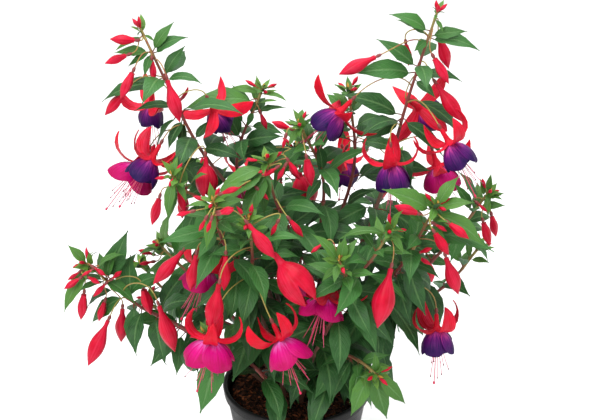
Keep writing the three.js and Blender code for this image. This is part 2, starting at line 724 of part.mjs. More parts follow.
/** Solids of the part by node, each with its box, to keep new ones clear of what stands already. */
class Stand {
  constructor() {
    this.pieces = [];
  }

  add(node, solid) {
    this.pieces.push({ node, solid, box: solid.boundingBox() });
  }

  /** Whether a solid keeps a gap to every piece whose node is wanted. */
  clears(solid, gap, wanted) {
    const box = solid.boundingBox();
    const boxesMeet = (other) => [0, 1, 2].every((i) =>
      box.min[i] - gap < other.box.max[i] && other.box.min[i] - gap < box.max[i]);
    return !this.pieces.some((other) =>
      wanted(other.node) && boxesMeet(other) && solid.minGap(other.solid, gap) < gap);
  }

  /** Solids of each node in a map. */
  byNode() {
    const nodes = new Map();
    for (const { node, solid } of this.pieces) nodes.set(node, [...(nodes.get(node) ?? []), solid]);
    return nodes;
  }
}

/** Stalks and flowers: open blooms, closed blooms, and buds joined to their stem. */
function growFlowers(stand, axes) {
  for (const [name, [stem, cup, heart, form, curl, turn]] of Object.entries(BLOOMS)) {
    const axis = V(...heart).sub(V(...cup)).normalize();
    const top = V(...cup).addScaledVector(axis, -CUP_SHOULDER);
    const stalk = stalkStations(chooseAxil(axes[stem], top), top, axis);
    stand.add(stem, skin(carriedRings(stalk, STALK_SIDES)));
    stand.add(`${name}_calyx`, calyx(top, axis, curl, turn * DEG));
    stand.add(`${name}_corolla`, corolla(top, axis, turn * DEG, form));
  }
  for (const [name, [stem, start, end, swell]] of Object.entries(CLOSED)) {
    const [top, tip] = [V(...start), V(...end)];
    const axis = tip.clone().sub(top).normalize();
    const stalk = stalkStations(chooseAxil(axes[stem], top), top, axis);
    stand.add(stem, skin(carriedRings(stalk, STALK_SIDES)));
    stand.add(name, skin(carriedRings(budStations(top, tip, swell), CLOSED_SIDES)));
  }
  for (const [stem, buds] of Object.entries(BUDS)) {
    for (const [start, end] of buds) {
      const [top, tip] = [V(...start), V(...end)];
      const axis = tip.clone().sub(top).normalize();
      const stalk = stalkStations(chooseAxil(axes[stem], top), top, axis).slice(0, -1);
      const sides = tip.distanceTo(top) > LARGE_BUD ? STEM_SIDES : STALK_SIDES;
      stand.add(stem, skin(carriedRings([...stalk, ...budStations(top, tip, BUD_SWELL)], sides)));
    }
  }
}

/** Leaves on every axis, tips first, each set another way until it keeps clear of what stands. */
function growLeaves(stand, axes) {
  const spots = Object.entries(axes).flatMap(([name, own], stem) => own.flatMap((axis, branch) =>
    axis.whorls().map((place, whorl) => ({ name, axis, place, keys: [stem, branch, whorl] }))));
  spots.sort((a, b) => a.keys[2] - b.keys[2]);
  for (const { name, axis, place, keys } of spots) {
    for (const turn of [0, 1]) {
      for (const way of LEAF_TRIES) {
        const { whole, alone } = leaf(leafArc(axis, [...keys, turn], place, way));
        if (stand.clears(whole, LEAF_CLEAR, (node) => node !== name)
          && stand.clears(alone, LEAF_CLEAR, (node) => node === name)) {
          stand.add(name, whole);
          break;
        }
      }
    }
  }
}

/** All solids of the part, by node name. */
function growPart() {
  const axes = Object.fromEntries(Object.entries(STEMS).map(([name, stem]) => [name, growAxes(stem)]));
  const stand = new Stand();
  stand.add('pot', makePot());
  stand.add('soil', makeSoil(axes));
  for (const [name, [main, ...shoots]] of Object.entries(axes)) {
    stand.add(name, main.wood([footRing(STEMS[name], 0, FOOT_BOTTOM)]));
    for (const shoot of shoots) stand.add(name, shoot.wood([]));
  }
  growFlowers(stand, axes);
  growLeaves(stand, axes);
  return stand.byNode();
}

/** Material of a node, by what its name says. */
function materialOf(name) {
  let key = name.split('_').at(-1);
  if (name in STEMS) key = 'leafy';
  if (name in CLOSED) key = 'closed';
  const [color, roughness] = COLOURS[key];
  return new THREE.MeshStandardMaterial({ color, roughness, metalness: 0, flatShading: true });
}

/** Named mesh of a node's joined solids. */
function toMesh(name, solids) {
  const { vertProperties, triVerts } = Manifold.union(solids).getMesh();
  const geometry = new THREE.BufferGeometry();
  geometry.setAttribute('position', new THREE.BufferAttribute(vertProperties, 3));
  geometry.setIndex(new THREE.BufferAttribute(triVerts, 1));
  const mesh = new THREE.Mesh(geometry, materialOf(name));
  mesh.name = name;
  return mesh;
}

const fuchsia = new THREE.Group();
fuchsia.name = 'potted_fuchsia';
for (const [name, solids] of growPart()) fuchsia.add(toMesh(name, solids));

export default fuchsia;
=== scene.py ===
"""Fuchsia in a tapered nursery pot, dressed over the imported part.

Stems, whorls, blooms and buds repeat the named places of the part's source, in millimetres,
so that each finer piece keeps the form and the place of the solid that it replaces.
"""

import logging
import math
from dataclasses import dataclass, field
from enum import Enum
from functools import cache
from typing import Any

import bpy
import numpy as np
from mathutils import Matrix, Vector
from mathutils.bvhtree import BVHTree


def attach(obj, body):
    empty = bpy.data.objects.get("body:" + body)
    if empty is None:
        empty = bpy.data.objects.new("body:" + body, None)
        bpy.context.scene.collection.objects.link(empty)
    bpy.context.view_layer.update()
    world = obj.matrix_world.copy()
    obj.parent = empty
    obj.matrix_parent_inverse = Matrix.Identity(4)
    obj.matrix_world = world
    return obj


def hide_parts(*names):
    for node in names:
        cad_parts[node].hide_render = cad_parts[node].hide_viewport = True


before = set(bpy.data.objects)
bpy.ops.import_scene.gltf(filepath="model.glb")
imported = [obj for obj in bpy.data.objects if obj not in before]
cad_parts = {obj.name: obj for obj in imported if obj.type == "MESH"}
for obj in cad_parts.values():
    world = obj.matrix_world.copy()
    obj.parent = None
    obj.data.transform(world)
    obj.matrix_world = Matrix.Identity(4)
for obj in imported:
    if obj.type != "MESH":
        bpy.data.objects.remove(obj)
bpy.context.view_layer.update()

log = logging.getLogger("fuchsia")
Array = np.ndarray
Colour = tuple[float, float, float, float]
Point = tuple[float, float, float]
Keys = tuple[int, int, int, int]
Material = bpy.types.Material
Node = bpy.types.Node
Piece = bpy.types.Object
Socket = bpy.types.NodeSocket
Paint = tuple[Socket, Any, Any]

MM = 0.001
UP = np.array([0.0, 0.0, 1.0])
LEAN = np.array([0.6, -0.8, 0.0])
LIGHT = np.array([0.0, -0.45, 0.89])
FULL_TURN = 2 * math.pi

# Growth rules, as in the part's source
FOOT_HEIGHTS = (86, 96, 106)
FOOT_TOP = 114
STEM_FOOT_RADIUS = 2.4
SHOOT_FOOT_RADIUS = 1.7
STEM_TIP_RADIUS = 1.4
JOINT_STEP = 42
SPAN_STEPS = 6
FIRST_WHORL = 6
WHORL_STEP = 17
WHORL_WIDENING = 0.34
BARE_FOOT = 8
GROWN_BELOW = 60
STALK_PART = 0.2
CUP_SHOULDER = 13.8
CUP_END = 15.0
OVARY_LENGTH = 6.0
OVARY_GAP = 0.3

# Ways to set a leaf, tried in turn: extra turn and droop in degrees, size
LEAF_TRIES = [
    (0, 0, 1), (22, 0, 1), (-22, 0, 1), (42, 0, 1), (-42, 0, 1),
    (0, 18, 0.86), (30, 18, 0.86), (-30, 18, 0.86),
]

# What the dress adds: a grown leaf's half width as a part of its length; on the wood the step from
# ring to ring, what the tip is thinner by, the swelling at a whorl and its reach, and how far from
# the tip it is old; the step from one axil to the next where a flower may hang
LEAF_WIDTH = 0.185
WOOD_STEP = 3.0
TIP_TAPER = 0.3
WHORL_SWELL = 0.3
WHORL_REACH = 2.2
OLD_WOOD = 190
AXIL_STEP = 8

# Radii round blooms, closed blooms and hanging buds that no added leaf stands before
CLEAR_BLOOM = 24.0
CLEAR_CLOSED = 17.0
CLEAR_BUD = 11.0


class Slot(Enum):
    """Material slots of the record."""

    POT = "pot"
    SOIL = "soil"
    FOLIAGE = "foliage"
    SEPALS = "sepals"
    VIOLET = "violet_petals"
    MAGENTA = "magenta_petals"
    BUDS = "buds"


class Form(Enum):
    """How wide a corolla stands open: its flare, its drop, the turn of its dome in radians, and how
    far its stamens fan out."""

    BELL = (11.0, 23.5, 2.0, 10.0)
    SKIRT = (20.0, 19.5, 1.6, 17.0)


@dataclass(frozen=True)
class Shoot:
    """Side shoot: how far from the stem's foot it starts, how far below its tip leaves grow, and
    points on its way."""

    start: float
    leafy: float
    points: list[Point]


@dataclass(frozen=True)
class StemPlan:
    """Leafy stem: its place in the compost, how far below its tip leaves grow, points on its way up,
    and its side shoots."""

    at: tuple[float, float]
    leafy: float
    points: list[Point]
    shoots: list[Shoot] = field(default_factory=list)


@dataclass(frozen=True)
class BloomPlan:
    """Open bloom: its stem, where its sepals spread, the middle of its corolla, its form, how far its
    sepals curl back and its turn about its own axis in degrees, and the parts of flare and of drop
    that its petals keep."""

    stem: str
    cup: Point
    heart: Point
    form: Form
    curl: float
    turn: float
    gathered: float = 1.0
    drawn: float = 1.0


@dataclass(frozen=True)
class ClosedPlan:
    """Half-open bloom or large bud: its stem, the top of its tube, its tip, and its greatest radius
    as a part of its length."""

    stem: str
    top: Point
    tip: Point
    swell: float


STEMS = {
    "left_leader": StemPlan(
        (-10, 6), 205,
        [(-15, 6, 160), (-30, 6, 235), (-51, 5, 305), (-88, 10, 362), (-114, 15, 420), (-135, 20, 468)],
        [Shoot(195, 60, [(-75, -22, 322), (-98, -40, 342), (-106, -50, 360)])]),
    "right_leader": StemPlan(
        (12, 6), 215,
        [(20, 8, 160), (42, 10, 220), (63, 6, 272), (82, 14, 335), (98, 20, 401), (121, 20, 483)]),
    "right_mid": StemPlan((8, 18), 170, [(12, 20, 170), (30, 26, 250), (52, 24, 335), (46, 30, 406)]),
    "left_mid": StemPlan((-6, 20), 170, [(-12, 26, 170), (-34, 38, 250), (-55, 42, 328), (-31, 58, 395)]),
    "centre": StemPlan((2, -6), 190, [(6, -8, 170), (16, -6, 250), (24, 0, 330), (3, -10, 390)],
        [Shoot(120, 110, [(0, -20, 280), (-18, -30, 325), (-27, -30, 366)])]),
    "front_left": StemPlan(
        (-12, -14), 165,
        [(-20, -24, 170), (-36, -42, 225), (-50, -56, 276), (-64, -70, 309), (-70, -88, 354)],
        [Shoot(110, 90, [(-38, -64, 270), (-38, -80, 305), (-40, -90, 338)])]),
    "front_centre": StemPlan(
        (4, -22), 165, [(14, -42, 170), (32, -62, 225), (44, -86, 270), (36, -108, 309)],
        [Shoot(105, 110, [(42, -76, 262), (64, -86, 298), (80, -84, 326)])]),
    "right_arm": StemPlan(
        (18, -10), 160, [(34, -22, 165), (62, -36, 225), (92, -46, 270), (120, -60, 337)]),
    "far_right": StemPlan((24, 4), 170, [(50, 4, 160), (92, 2, 212), (138, 0, 268), (171, 0, 319)],
        [Shoot(100, 80, [(110, 14, 196), (144, 26, 214), (170, 34, 246)])]),
    "low_right": StemPlan(
        (22, -24), 85, [(30, -42, 155), (40, -62, 188), (57, -84, 194), (70, -100, 191)]),
    "far_left": StemPlan(
        (-24, -2), 170, [(-60, -6, 150), (-105, -10, 185), (-148, -12, 212), (-190, -12, 254)],
        [Shoot(84, 70, [(-104, 18, 164), (-126, 30, 172), (-142, 38, 188)])]),
    "left_low": StemPlan((-20, 10), 120, [(-50, 20, 165), (-90, 32, 205), (-128, 40, 245)],
        [Shoot(60, 80, [(-94, 44, 172), (-126, 60, 184), (-150, 70, 208)])]),
    "front_low": StemPlan((-10, -28), 100, [(-26, -46, 150), (-50, -66, 190), (-80, -80, 222)]),
    "back_left": StemPlan((-14, 28), 130, [(-34, 54, 170), (-62, 80, 230), (-92, 98, 296)],
        [Shoot(55, 80, [(-68, 80, 178), (-102, 94, 194), (-128, 100, 218)])]),
    "back_right": StemPlan((16, 28), 130, [(36, 56, 170), (66, 82, 235), (96, 104, 305)],
        [Shoot(55, 80, [(74, 76, 178), (108, 88, 196), (136, 94, 222)])]),
    "back_centre": StemPlan((2, 36), 140, [(4, 66, 170), (2, 92, 235), (-2, 114, 312)]),
}

BLOOMS = {
    "bloom_01": BloomPlan("left_leader", (-130, 40, 388), (-131, 40, 376), Form.BELL, 130, 20, 0.68, 0.82),
    "bloom_02": BloomPlan("left_leader", (-73, 20, 391), (-67, 26, 375), Form.BELL, 75, 50, 0.7, 0.85),
    "bloom_03": BloomPlan("left_leader", (-127, -8, 357), (-137, -14, 341), Form.BELL, 150, 0),
    "bloom_04": BloomPlan("left_leader", (-141, 18, 339), (-153, 12, 320), Form.SKIRT, 130, 45, 0.9, 1.05),
    "bloom_06": BloomPlan("right_leader", (38, 0, 398), (27, -3, 387), Form.BELL, 90, 32),
    "bloom_07": BloomPlan("right_leader", (109, 34, 387), (122, 46, 373), Form.BELL, 60, 10),
    "bloom_08": BloomPlan("right_leader", (83, -22, 359), (85, -26, 335), Form.BELL, 190, 45),
    "bloom_09": BloomPlan("right_leader", (132, -26, 380), (141, -31, 366), Form.BELL, 150, 0, 0.92, 1.0),
    "bloom_10": BloomPlan("right_leader", (126, 20, 337), (132, 18, 317), Form.SKIRT, 100, 30, 0.66, 1.1),
    "bloom_13": BloomPlan("front_left", (-80, -40, 265), (-87, -46, 248), Form.SKIRT, 150, 15, 0.78, 1.1),
    "bloom_14": BloomPlan("front_left", (-72, -112, 236), (-76, -116, 214), Form.SKIRT, 165, 42, 0.9, 1.1),
    "bloom_15": BloomPlan("front_left", (-14, -112, 236), (-5, -118, 218), Form.SKIRT, 170, 0, 0.78, 1.3),
    "bloom_17": BloomPlan("front_centre", (25, -82, 260), (21, -88, 245), Form.SKIRT, 90, 60, 0.8, 1.0),
    "bloom_18": BloomPlan("right_arm", (126, -48, 207), (127, -52, 189), Form.BELL, 185, 8),
    "bloom_19": BloomPlan("back_left", (-44, 112, 288), (-46, 116, 268), Form.SKIRT, 150, 30),
    "bloom_20": BloomPlan("back_right", (44, 118, 296), (45, 123, 276), Form.BELL, 170, 45),
}

# Half-open blooms and the largest buds, each in a node of its own
CLOSED = {
    "bloom_05": ClosedPlan("left_leader", (-79, -25, 366), (-77, -28, 331), 0.24),
    "bloom_11": ClosedPlan("right_mid", (44, 50, 338), (28, 46, 310), 0.24),
    "bloom_12": ClosedPlan("left_mid", (3, 44, 322), (5, 38, 290), 0.26),
    "bloom_16": ClosedPlan("front_left", (-19, -96, 310), (11, -112, 272), 0.26),
    "bloom_21": ClosedPlan("back_right", (112, 92, 262), (115, 98, 226), 0.24),
    "bud_01": ClosedPlan("right_leader", (122, 10, 420), (146, 2, 387), 0.14),
    "bud_02": ClosedPlan("front_left", (-65, -116, 291), (-73, -122, 249), 0.14),
    "bud_03": ClosedPlan("front_centre", (80, -98, 296), (69, -110, 244), 0.14),
    "bud_04": ClosedPlan("far_left", (-172, -26, 202), (-192, -34, 158), 0.13),
    "bud_05": ClosedPlan("far_left", (-121, -65, 240), (-108, -71, 196), 0.13),
}

# Hanging buds grown in one with the stem that carries them: top of the tube, tip
BUDS: dict[str, list[tuple[Point, Point]]] = {
    "left_leader": [
        ((-140, 10, 461), (-160, 2, 465)), ((-147, 4, 449), (-165, -2, 444)),
        ((-141, -6, 437), (-152, -10, 414)), ((-152, 12, 410), (-169, 10, 390)),
        ((-125, 10, 441), (-124, 8, 423)), ((-111, -6, 430), (-101, -12, 393)),
        ((-102, -42, 340), (-97, -46, 322)), ((-120, -34, 330), (-127, -38, 306)),
    ],
    "right_leader": [
        ((68, 8, 446), (36, 0, 433)), ((96, 34, 447), (99, 34, 427)), ((126, 30, 452), (134, 30, 426)),
        ((119, 4, 446), (132, 0, 424)),
    ],
    "centre": [
        ((9, -30, 366), (13, -34, 342)), ((-7, 0, 348), (3, -4, 334)), ((-5, -60, 322), (6, -64, 308)),
    ],
    "front_left": [
        ((-99, -64, 294), (-125, -72, 266)), ((-86, -78, 298), (-92, -82, 265)),
        ((-60, -94, 306), (-62, -96, 273)), ((-40, -98, 338), (-18, -106, 310)),
        ((-48, -60, 356), (-63, -70, 353)),
    ],
    "right_arm": [
        ((101, -76, 338), (82, -86, 350)), ((131, -74, 326), (147, -82, 316)),
        ((118, -82, 321), (130, -86, 302)), ((130, -62, 287), (142, -66, 252)),
    ],
    "far_right": [((168, -4, 291), (175, -6, 268)), ((177, 10, 290), (182, 10, 269))],
    "far_left": [
        ((-193, -22, 227), (-197, -24, 201)), ((-176, -14, 214), (-182, -16, 195)),
        ((-160, -12, 206), (-163, -12, 170)), ((-139, -18, 230), (-133, -20, 204)),
    ],
    "back_left": [((-108, 106, 268), (-112, 110, 236)), ((-78, 112, 262), (-76, 118, 226))],
    "back_right": [((84, 122, 280), (82, 128, 246)), ((128, 104, 196), (134, 108, 166))],
    "back_centre": [((12, 130, 276), (16, 136, 238)), ((-16, 126, 268), (-22, 132, 234))],
}

# Young buds that are added round the leafy tips: top, point
YOUNG_BUDS: dict[str, list[tuple[Point, Point]]] = {
    "far_left": [
        ((-198, -18, 247), (-207, -22, 242)), ((-197, -24, 244), (-210, -28, 236)),
        ((-185, -26, 254), (-193, -28, 250)), ((-186, -28, 248), (-176, -32, 244)),
        ((-174, -22, 237), (-184, -28, 228)), ((-180, -26, 256), (-171, -30, 251)),
        ((-165, -22, 245), (-157, -24, 253)),
    ],
    "front_left": [
        ((-89, -104, 353), (-100, -108, 352)), ((-62, -106, 355), (-51, -110, 360)),
        ((-60, -100, 369), (-47, -104, 376)), ((-76, -108, 347), (-81, -110, 338)),
        ((-61, -112, 356), (-51, -116, 361)), ((-71, -112, 348), (-74, -116, 340)),
        ((-17, -84, 331), (-22, -86, 321)),
    ],
    "centre": [
        ((-10, -22, 382), (-12, -24, 374)), ((-19, -34, 359), (-28, -38, 354)),
        ((-11, -30, 358), (-17, -34, 348)), ((-6, -28, 362), (2, -32, 350)),
        ((-7, -14, 389), (-22, -16, 396)), ((-32, -44, 343), (-24, -48, 336)),
    ],
    "left_mid": [((-32, 48, 374), (-27, 44, 361))],
    "front_centre": [((20, -90, 314), (12, -92, 308))],
    "right_arm": [
        ((107, -64, 288), (117, -68, 283)), ((108, -66, 295), (117, -70, 301)),
        ((120, -70, 323), (129, -72, 318)),
    ],
    "far_right": [((163, -8, 311), (170, -12, 306))],
    "left_low": [((-137, 36, 238), (-148, 32, 244)), ((-137, 30, 232), (-147, 26, 232))],
}

# Leaves that stand out from the front: axis of the stem, distance below its tip, tip of the leaf,
# half width in hundredths of its length, bend in tenths of a radian
SET_LEAVES: dict[str, list[tuple[int, ...]]] = {
    "left_leader": [
        (0, 6, -123, 23, 454, 15, 8), (0, 7, -158, 15, 448, 11, 9), (0, 25, -94, 26, 457, 17, 15),
        (0, 23, -132, 6, 428, 17, 6), (0, 22, -147, 12, 435, 15, 6), (0, 47, -97, 28, 449, 20, 6),
        (0, 49, -82, 11, 419, 17, 15), (0, 51, -171, 9, 403, 18, 9), (0, 76, -142, -1, 399, 16, 9),
        (0, 89, -113, -2, 362, 20, 7), (0, 91, -103, 16, 355, 17, 6), (0, 111, -78, 22, 380, 20, 6),
        (0, 120, -49, 4, 351, 20, 11), (0, 118, -113, -4, 349, 19, 9), (0, 137, -110, -8, 335, 15, 11),
        (1, 1, -111, -60, 324, 15, 6), (1, 5, -94, -58, 338, 15, 9), (1, 10, -111, -50, 316, 14, 8),
    ],
    "left_mid": [
        (0, 10, -102, 36, 384, 18, 11), (0, 20, -77, 43, 385, 16, 9), (0, 50, -67, 38, 389, 21, 6),
        (0, 21, -45, 45, 363, 20, 6), (0, 4, -61, 61, 394, 14, 12), (0, 4, -8, 51, 385, 15, 12),
        (0, 53, -12, 38, 357, 20, 15), (0, 67, -22, 43, 345, 18, 8),
    ],
    "centre": [
        (1, 5, -69, -46, 341, 17, 9), (1, 9, -68, -54, 332, 18, 8), (1, 8, -28, -42, 318, 17, 7),
        (1, 11, -46, -50, 310, 19, 7), (0, 14, 52, -18, 377, 19, 14), (0, 18, -20, -29, 333, 14, 14),
        (0, 1, -7, -24, 375, 17, 9), (0, 6, 4, -15, 403, 20, 5), (0, 2, 15, -4, 395, 12, 9),
        (0, 57, 18, 2, 369, 21, 4), (0, 56, 66, -9, 366, 17, 8), (0, 59, 8, -16, 317, 20, 7),
        (0, 62, 31, -10, 317, 17, 7), (1, 72, 23, -15, 316, 24, 6), (0, 122, 50, -8, 285, 24, 9),
    ],
    "right_mid": [(0, 114, 72, 19, 312, 20, 10), (0, 20, 9, 16, 376, 17, 13), (0, 28, 30, 21, 361, 18, 8)],
    "right_leader": [
        (0, 19, 79, 16, 482, 18, 12), (0, 25, 159, 14, 449, 16, 12), (0, 27, 101, 8, 451, 22, 6),
        (0, 6, 126, 12, 467, 20, 6), (0, 54, 69, 26, 456, 19, 7), (0, 59, 47, 10, 430, 17, 11),
        (0, 62, 145, 14, 420, 15, 15), (0, 65, 121, 2, 410, 20, 7), (0, 101, 38, 13, 409, 17, 9),
        (0, 103, 58, 5, 367, 20, 9), (0, 103, 130, 1, 354, 18, 7), (0, 143, 54, 19, 320, 22, 8),
        (0, 148, 120, 10, 336, 20, 10),
    ],
    "far_right": [
        (0, 16, 142, -6, 344, 20, 6), (0, 0, 173, 0, 339, 17, 5), (0, 3, 171, -10, 300, 19, 6),
        (0, 1, 185, 2, 311, 12, 8),
    ],
    "right_arm": [
        (0, 1, 139, -52, 361, 22, 5), (0, 4, 152, -65, 342, 19, 8), (0, 7, 162, -75, 305, 19, 8),
        (0, 30, 172, -62, 292, 22, 8), (0, 7, 72, -69, 357, 18, 8), (0, 3, 93, -50, 346, 17, 8),
        (0, 57, 100, -45, 313, 20, 6), (0, 54, 119, -56, 319, 17, 7), (0, 66, 126, -58, 263, 16, 11),
        (0, 76, 98, -64, 231, 19, 6), (0, 70, 63, -53, 286, 18, 13), (0, 78, 52, -61, 245, 20, 7),
        (0, 119, 82, -60, 166, 20, 5), (0, 107, 111, -52, 180, 15, 8),
    ],
    "front_centre": [
        (0, 1, 12, -108, 335, 17, 8), (0, 6, 21, -115, 292, 19, 8), (0, 3, 41, -104, 331, 21, 5),
        (0, 4, 52, -100, 327, 17, 7), (0, 28, 11, -105, 268, 21, 8), (0, 31, 51, -107, 264, 20, 6),
        (1, 3, 35, -92, 320, 16, 11), (1, 1, 90, -86, 346, 17, 6), (1, 2, 91, -94, 308, 17, 7),
        (0, 102, 44, -73, 193, 18, 7), (0, 156, -6, -59, 128, 21, 7),
    ],
    "low_right": [
        (0, 51, 16, -75, 149, 20, 6), (0, 33, 32, -85, 154, 17, 6), (0, 8, 48, -100, 148, 18, 6),
        (0, 3, 80, -103, 147, 20, 6), (0, 0, 96, -102, 162, 19, 8), (0, 1, 68, -95, 212, 18, 6),
        (0, 0, 84, -98, 197, 15, 8),
    ],
    "front_low": [
        (0, 87, -20, -58, 127, 18, 6), (0, 21, -87, -82, 138, 18, 5), (0, 74, -58, -82, 178, 22, 5),
        (0, 52, -66, -90, 204, 21, 6),
    ],
    "front_left": [
        (0, 148, -57, -88, 176, 25, 6), (1, 74, 7, -78, 245, 18, 8), (1, 26, 6, -91, 320, 19, 10),
        (0, 33, -118, -82, 312, 14, 8), (0, 98, -90, -68, 239, 14, 6), (0, 85, -61, -81, 236, 19, 5),
        (0, 2, -93, -91, 351, 13, 11), (0, 1, -41, -82, 371, 16, 7), (0, 3, -42, -95, 360, 17, 8),
        (0, 5, -76, -100, 315, 15, 6),
    ],
    "far_left": [
        (0, 1, -207, -8, 271, 20, 6), (0, 25, -152, -2, 283, 20, 7), (0, 9, -155, -10, 262, 16, 10),
        (0, 54, -151, -4, 259, 21, 4), (0, 3, -212, -22, 208, 15, 9), (0, 19, -145, -30, 220, 19, 8),
        (0, 58, -150, -22, 166, 21, 7), (0, 108, -136, -22, 150, 19, 6),
    ],
    "left_low": [
        (0, 6, -149, 35, 236, 17, 10), (0, 4, -116, 30, 285, 17, 4), (0, 26, -102, 28, 282, 18, 6),
    ],
}

# Spots that no grown leaf stands before, seen from the front: their middles and radii. The first
# two lie on the compost, the third on the pot, one on a hanging bud, one on a leader's tip, and the
# rest behind the gaps between and below the side branches.
BARE_SPOTS = [
    ((-54, -2, 111), 15.0), ((-40, -24, 111), 14.0), ((-62, -30, 60), 14.0), ((-154, 120, 80), 9.0),
    ((-140, 120, 46), 11.0), ((-162, 120, 54), 8.0), ((-115, 120, 29), 9.0), ((174, 120, 133), 9.0),
    ((182, 120, 171), 9.0), ((168, 120, 118), 8.0), ((-162, -12, 188), 9.0), ((121, 20, 481), 8.0),
    ((156, 120, 142), 12.0), ((165, 120, 171), 9.0), ((138, 120, 176), 8.0), ((151, 120, 118), 9.0),
    ((-150, 120, 98), 8.0), ((180, 120, 160), 9.0),
]


def srgb(red: int, green: int, blue: int) -> Colour:
    """Linear colour from a screen colour of 0 to 255.

    Args:
        red: Red part.
        green: Green part.
        blue: Blue part.

    Returns:
        Linear red, green, blue and full alpha.
    """
    parts = [value / 255 for value in (red, green, blue)]
    linear = [part / 12.92 if part <= 0.04045 else ((part + 0.055) / 1.055) ** 2.4 for part in parts]
    return (linear[0], linear[1], linear[2], 1.0)


def draw(*keys: int) -> float:
    """Even draw between 0 and 1 that depends only on the whole numbers given.

    Args:
        keys: Whole numbers.

    Returns:
        The draw.
    """
    mixed = 0x811C9DC5
    for key in keys:
        mixed = ((mixed ^ (key + 1)) * 0x9E3779B1) & 0xFFFFFFFF
        mixed ^= mixed >> 15
    mixed = (mixed * 0x85EBCA6B) & 0xFFFFFFFF
    mixed ^= mixed >> 13
    return mixed / 2**32


def between(low: float, high: float, *keys: int) -> float:
    """Number from low to high, by the even draw of the whole numbers that follow."""
    return low + (high - low) * draw(*keys)


def vec(values: Any) -> Array:
    """Point or direction as an array of floats."""
    return np.array(values, float)


def unit(v: Array) -> Array:
    """Direction of length 1, or a whole array of them along the last axis."""
    return v / np.linalg.norm(v, axis=-1, keepdims=True)


def square_to(along: Array) -> tuple[Array, Array]:
    """Two unit directions square to a unit direction, the second a quarter turn on from the first."""
    first = unit(np.cross(along, LEAN))
    return first, np.cross(along, first)


def round_about(along: Array, angle: float) -> Array:
    """Unit direction square to another, at an angle in radians about it."""
    first, second = square_to(along)
    return first * math.cos(angle) + second * math.sin(angle)


@dataclass
class Skin:
    """Vertices, faces, UVs and traits of one piece, gathered as whole arrays in millimetres.

    A trait is three numbers at each vertex: age, chance, and which side of a blade it is on.
    """

    points: list[Array] = field(default_factory=list)
    corners: list[Array] = field(default_factory=list)
    sizes: list[Array] = field(default_factory=list)
    uvs: list[Array] = field(default_factory=list)
    traits: list[Array] = field(default_factory=list)
    count: int = 0

    def add_tubes(
        self, rings: Array, start: Array, end: Array, across: Array, flow: Array, traits: Array
    ) -> None:
        """Closed tubes of any section: quads join point k of ring r to point k of ring r + 1, and a
        fan of triangles closes each end at its pole. Rings run anticlockwise about the way forward.

        Args:
            rings: Ring points, by tube, row, side and coordinate.
            start: First pole of each tube.
            end: Last pole of each tube.
            across: UV u of the sides.
            flow: UV v of the rows.
            traits: Traits, by tube, row, side and number.
        """
        tubes, rows, sides, _ = rings.shape
        size = rows * sides + 2
        body = rings.reshape(tubes, rows * sides, 3)
        self.points.append(np.concatenate([start[:, None], body, end[:, None]], axis=1).reshape(-1, 3))
        u, v = np.broadcast_to(across, (rows, sides)), np.broadcast_to(flow[:, None], (rows, sides))
        uv = np.stack([u, v], axis=-1).reshape(-1, 2)
        uv = np.concatenate([[[0.5, flow[0]]], uv, [[0.5, flow[-1]]]])
        self.uvs.append(np.tile(uv, (tubes, 1)))
        inner = np.broadcast_to(traits, (tubes, rows, sides, 3)).reshape(tubes, rows * sides, 3)
        self.traits.append(np.concatenate([inner[:, :1], inner, inner[:, -1:]], axis=1).reshape(-1, 3))
        k = np.arange(sides)
        after = (k + 1) % sides
        row = 1 + sides * np.arange(rows - 1)[:, None]
        quads = np.stack([row + k, row + after, row + sides + after, row + sides + k], axis=-1)
        last = 1 + sides * (rows - 1)
        first_fan = np.stack([np.zeros_like(k), 1 + after, 1 + k], axis=-1)
        last_fan = np.stack([last + k, last + after, np.full_like(k, size - 1)], axis=-1)
        ring_corners = np.concatenate([first_fan.ravel(), quads.ravel(), last_fan.ravel()])
        shift = self.count + size * np.arange(tubes)[:, None]
        self.corners.append((ring_corners[None] + shift).ravel())
        per_tube = np.concatenate([np.full(sides, 3), np.full(sides * (rows - 1), 4), np.full(sides, 3)])
        self.sizes.append(np.tile(per_tube, tubes))
        self.count += tubes * size

    def mesh(self) -> tuple[Array, list[list[int]]]:
        """What is gathered so far.

        Returns:
            Points, and the faces as lists of their corners.
        """
        ends = np.cumsum(np.concatenate(self.sizes))[:-1]
        faces = [face.tolist() for face in np.split(np.concatenate(self.corners), ends)]
        return np.concatenate(self.points), faces

    def make(self, name: str, material: Material, sharp: float = 60.0) -> Piece:
        """Piece in metres, with its UV map and its traits.

        Args:
            name: Name of the piece.
            material: Its finish.
            sharp: Angle in degrees from which an edge shows as sharp.

        Returns:
            The piece.
        """
        points = np.concatenate(self.points) * MM
        corners = np.concatenate(self.corners).astype(np.int32)
        sizes = np.concatenate(self.sizes)
        starts = np.concatenate([[0], np.cumsum(sizes)[:-1]]).astype(np.int32)
        mesh = bpy.data.meshes.new(name)
        mesh.vertices.add(len(points))
        mesh.vertices.foreach_set("co", points.ravel())
        mesh.loops.add(len(corners))
        mesh.loops.foreach_set("vertex_index", corners)
        mesh.polygons.add(len(sizes))
        mesh.polygons.foreach_set("loop_start", starts)
        mesh.polygons.foreach_set("use_smooth", np.ones(len(sizes), bool))
        mesh.update(calc_edges=True)
        layer = mesh.uv_layers.new(name="UVMap")
        layer.data.foreach_set("uv", np.concatenate(self.uvs)[corners].ravel())
        traits = mesh.attributes.new("traits", "FLOAT_VECTOR", "POINT")
        traits.data.foreach_set("vector", np.concatenate(self.traits).ravel())
        mesh.set_sharp_from_angle(angle=math.radians(sharp))
        mesh.materials.append(material)
        piece = bpy.data.objects.new(name, mesh)
        bpy.context.scene.collection.objects.link(piece)
        return piece


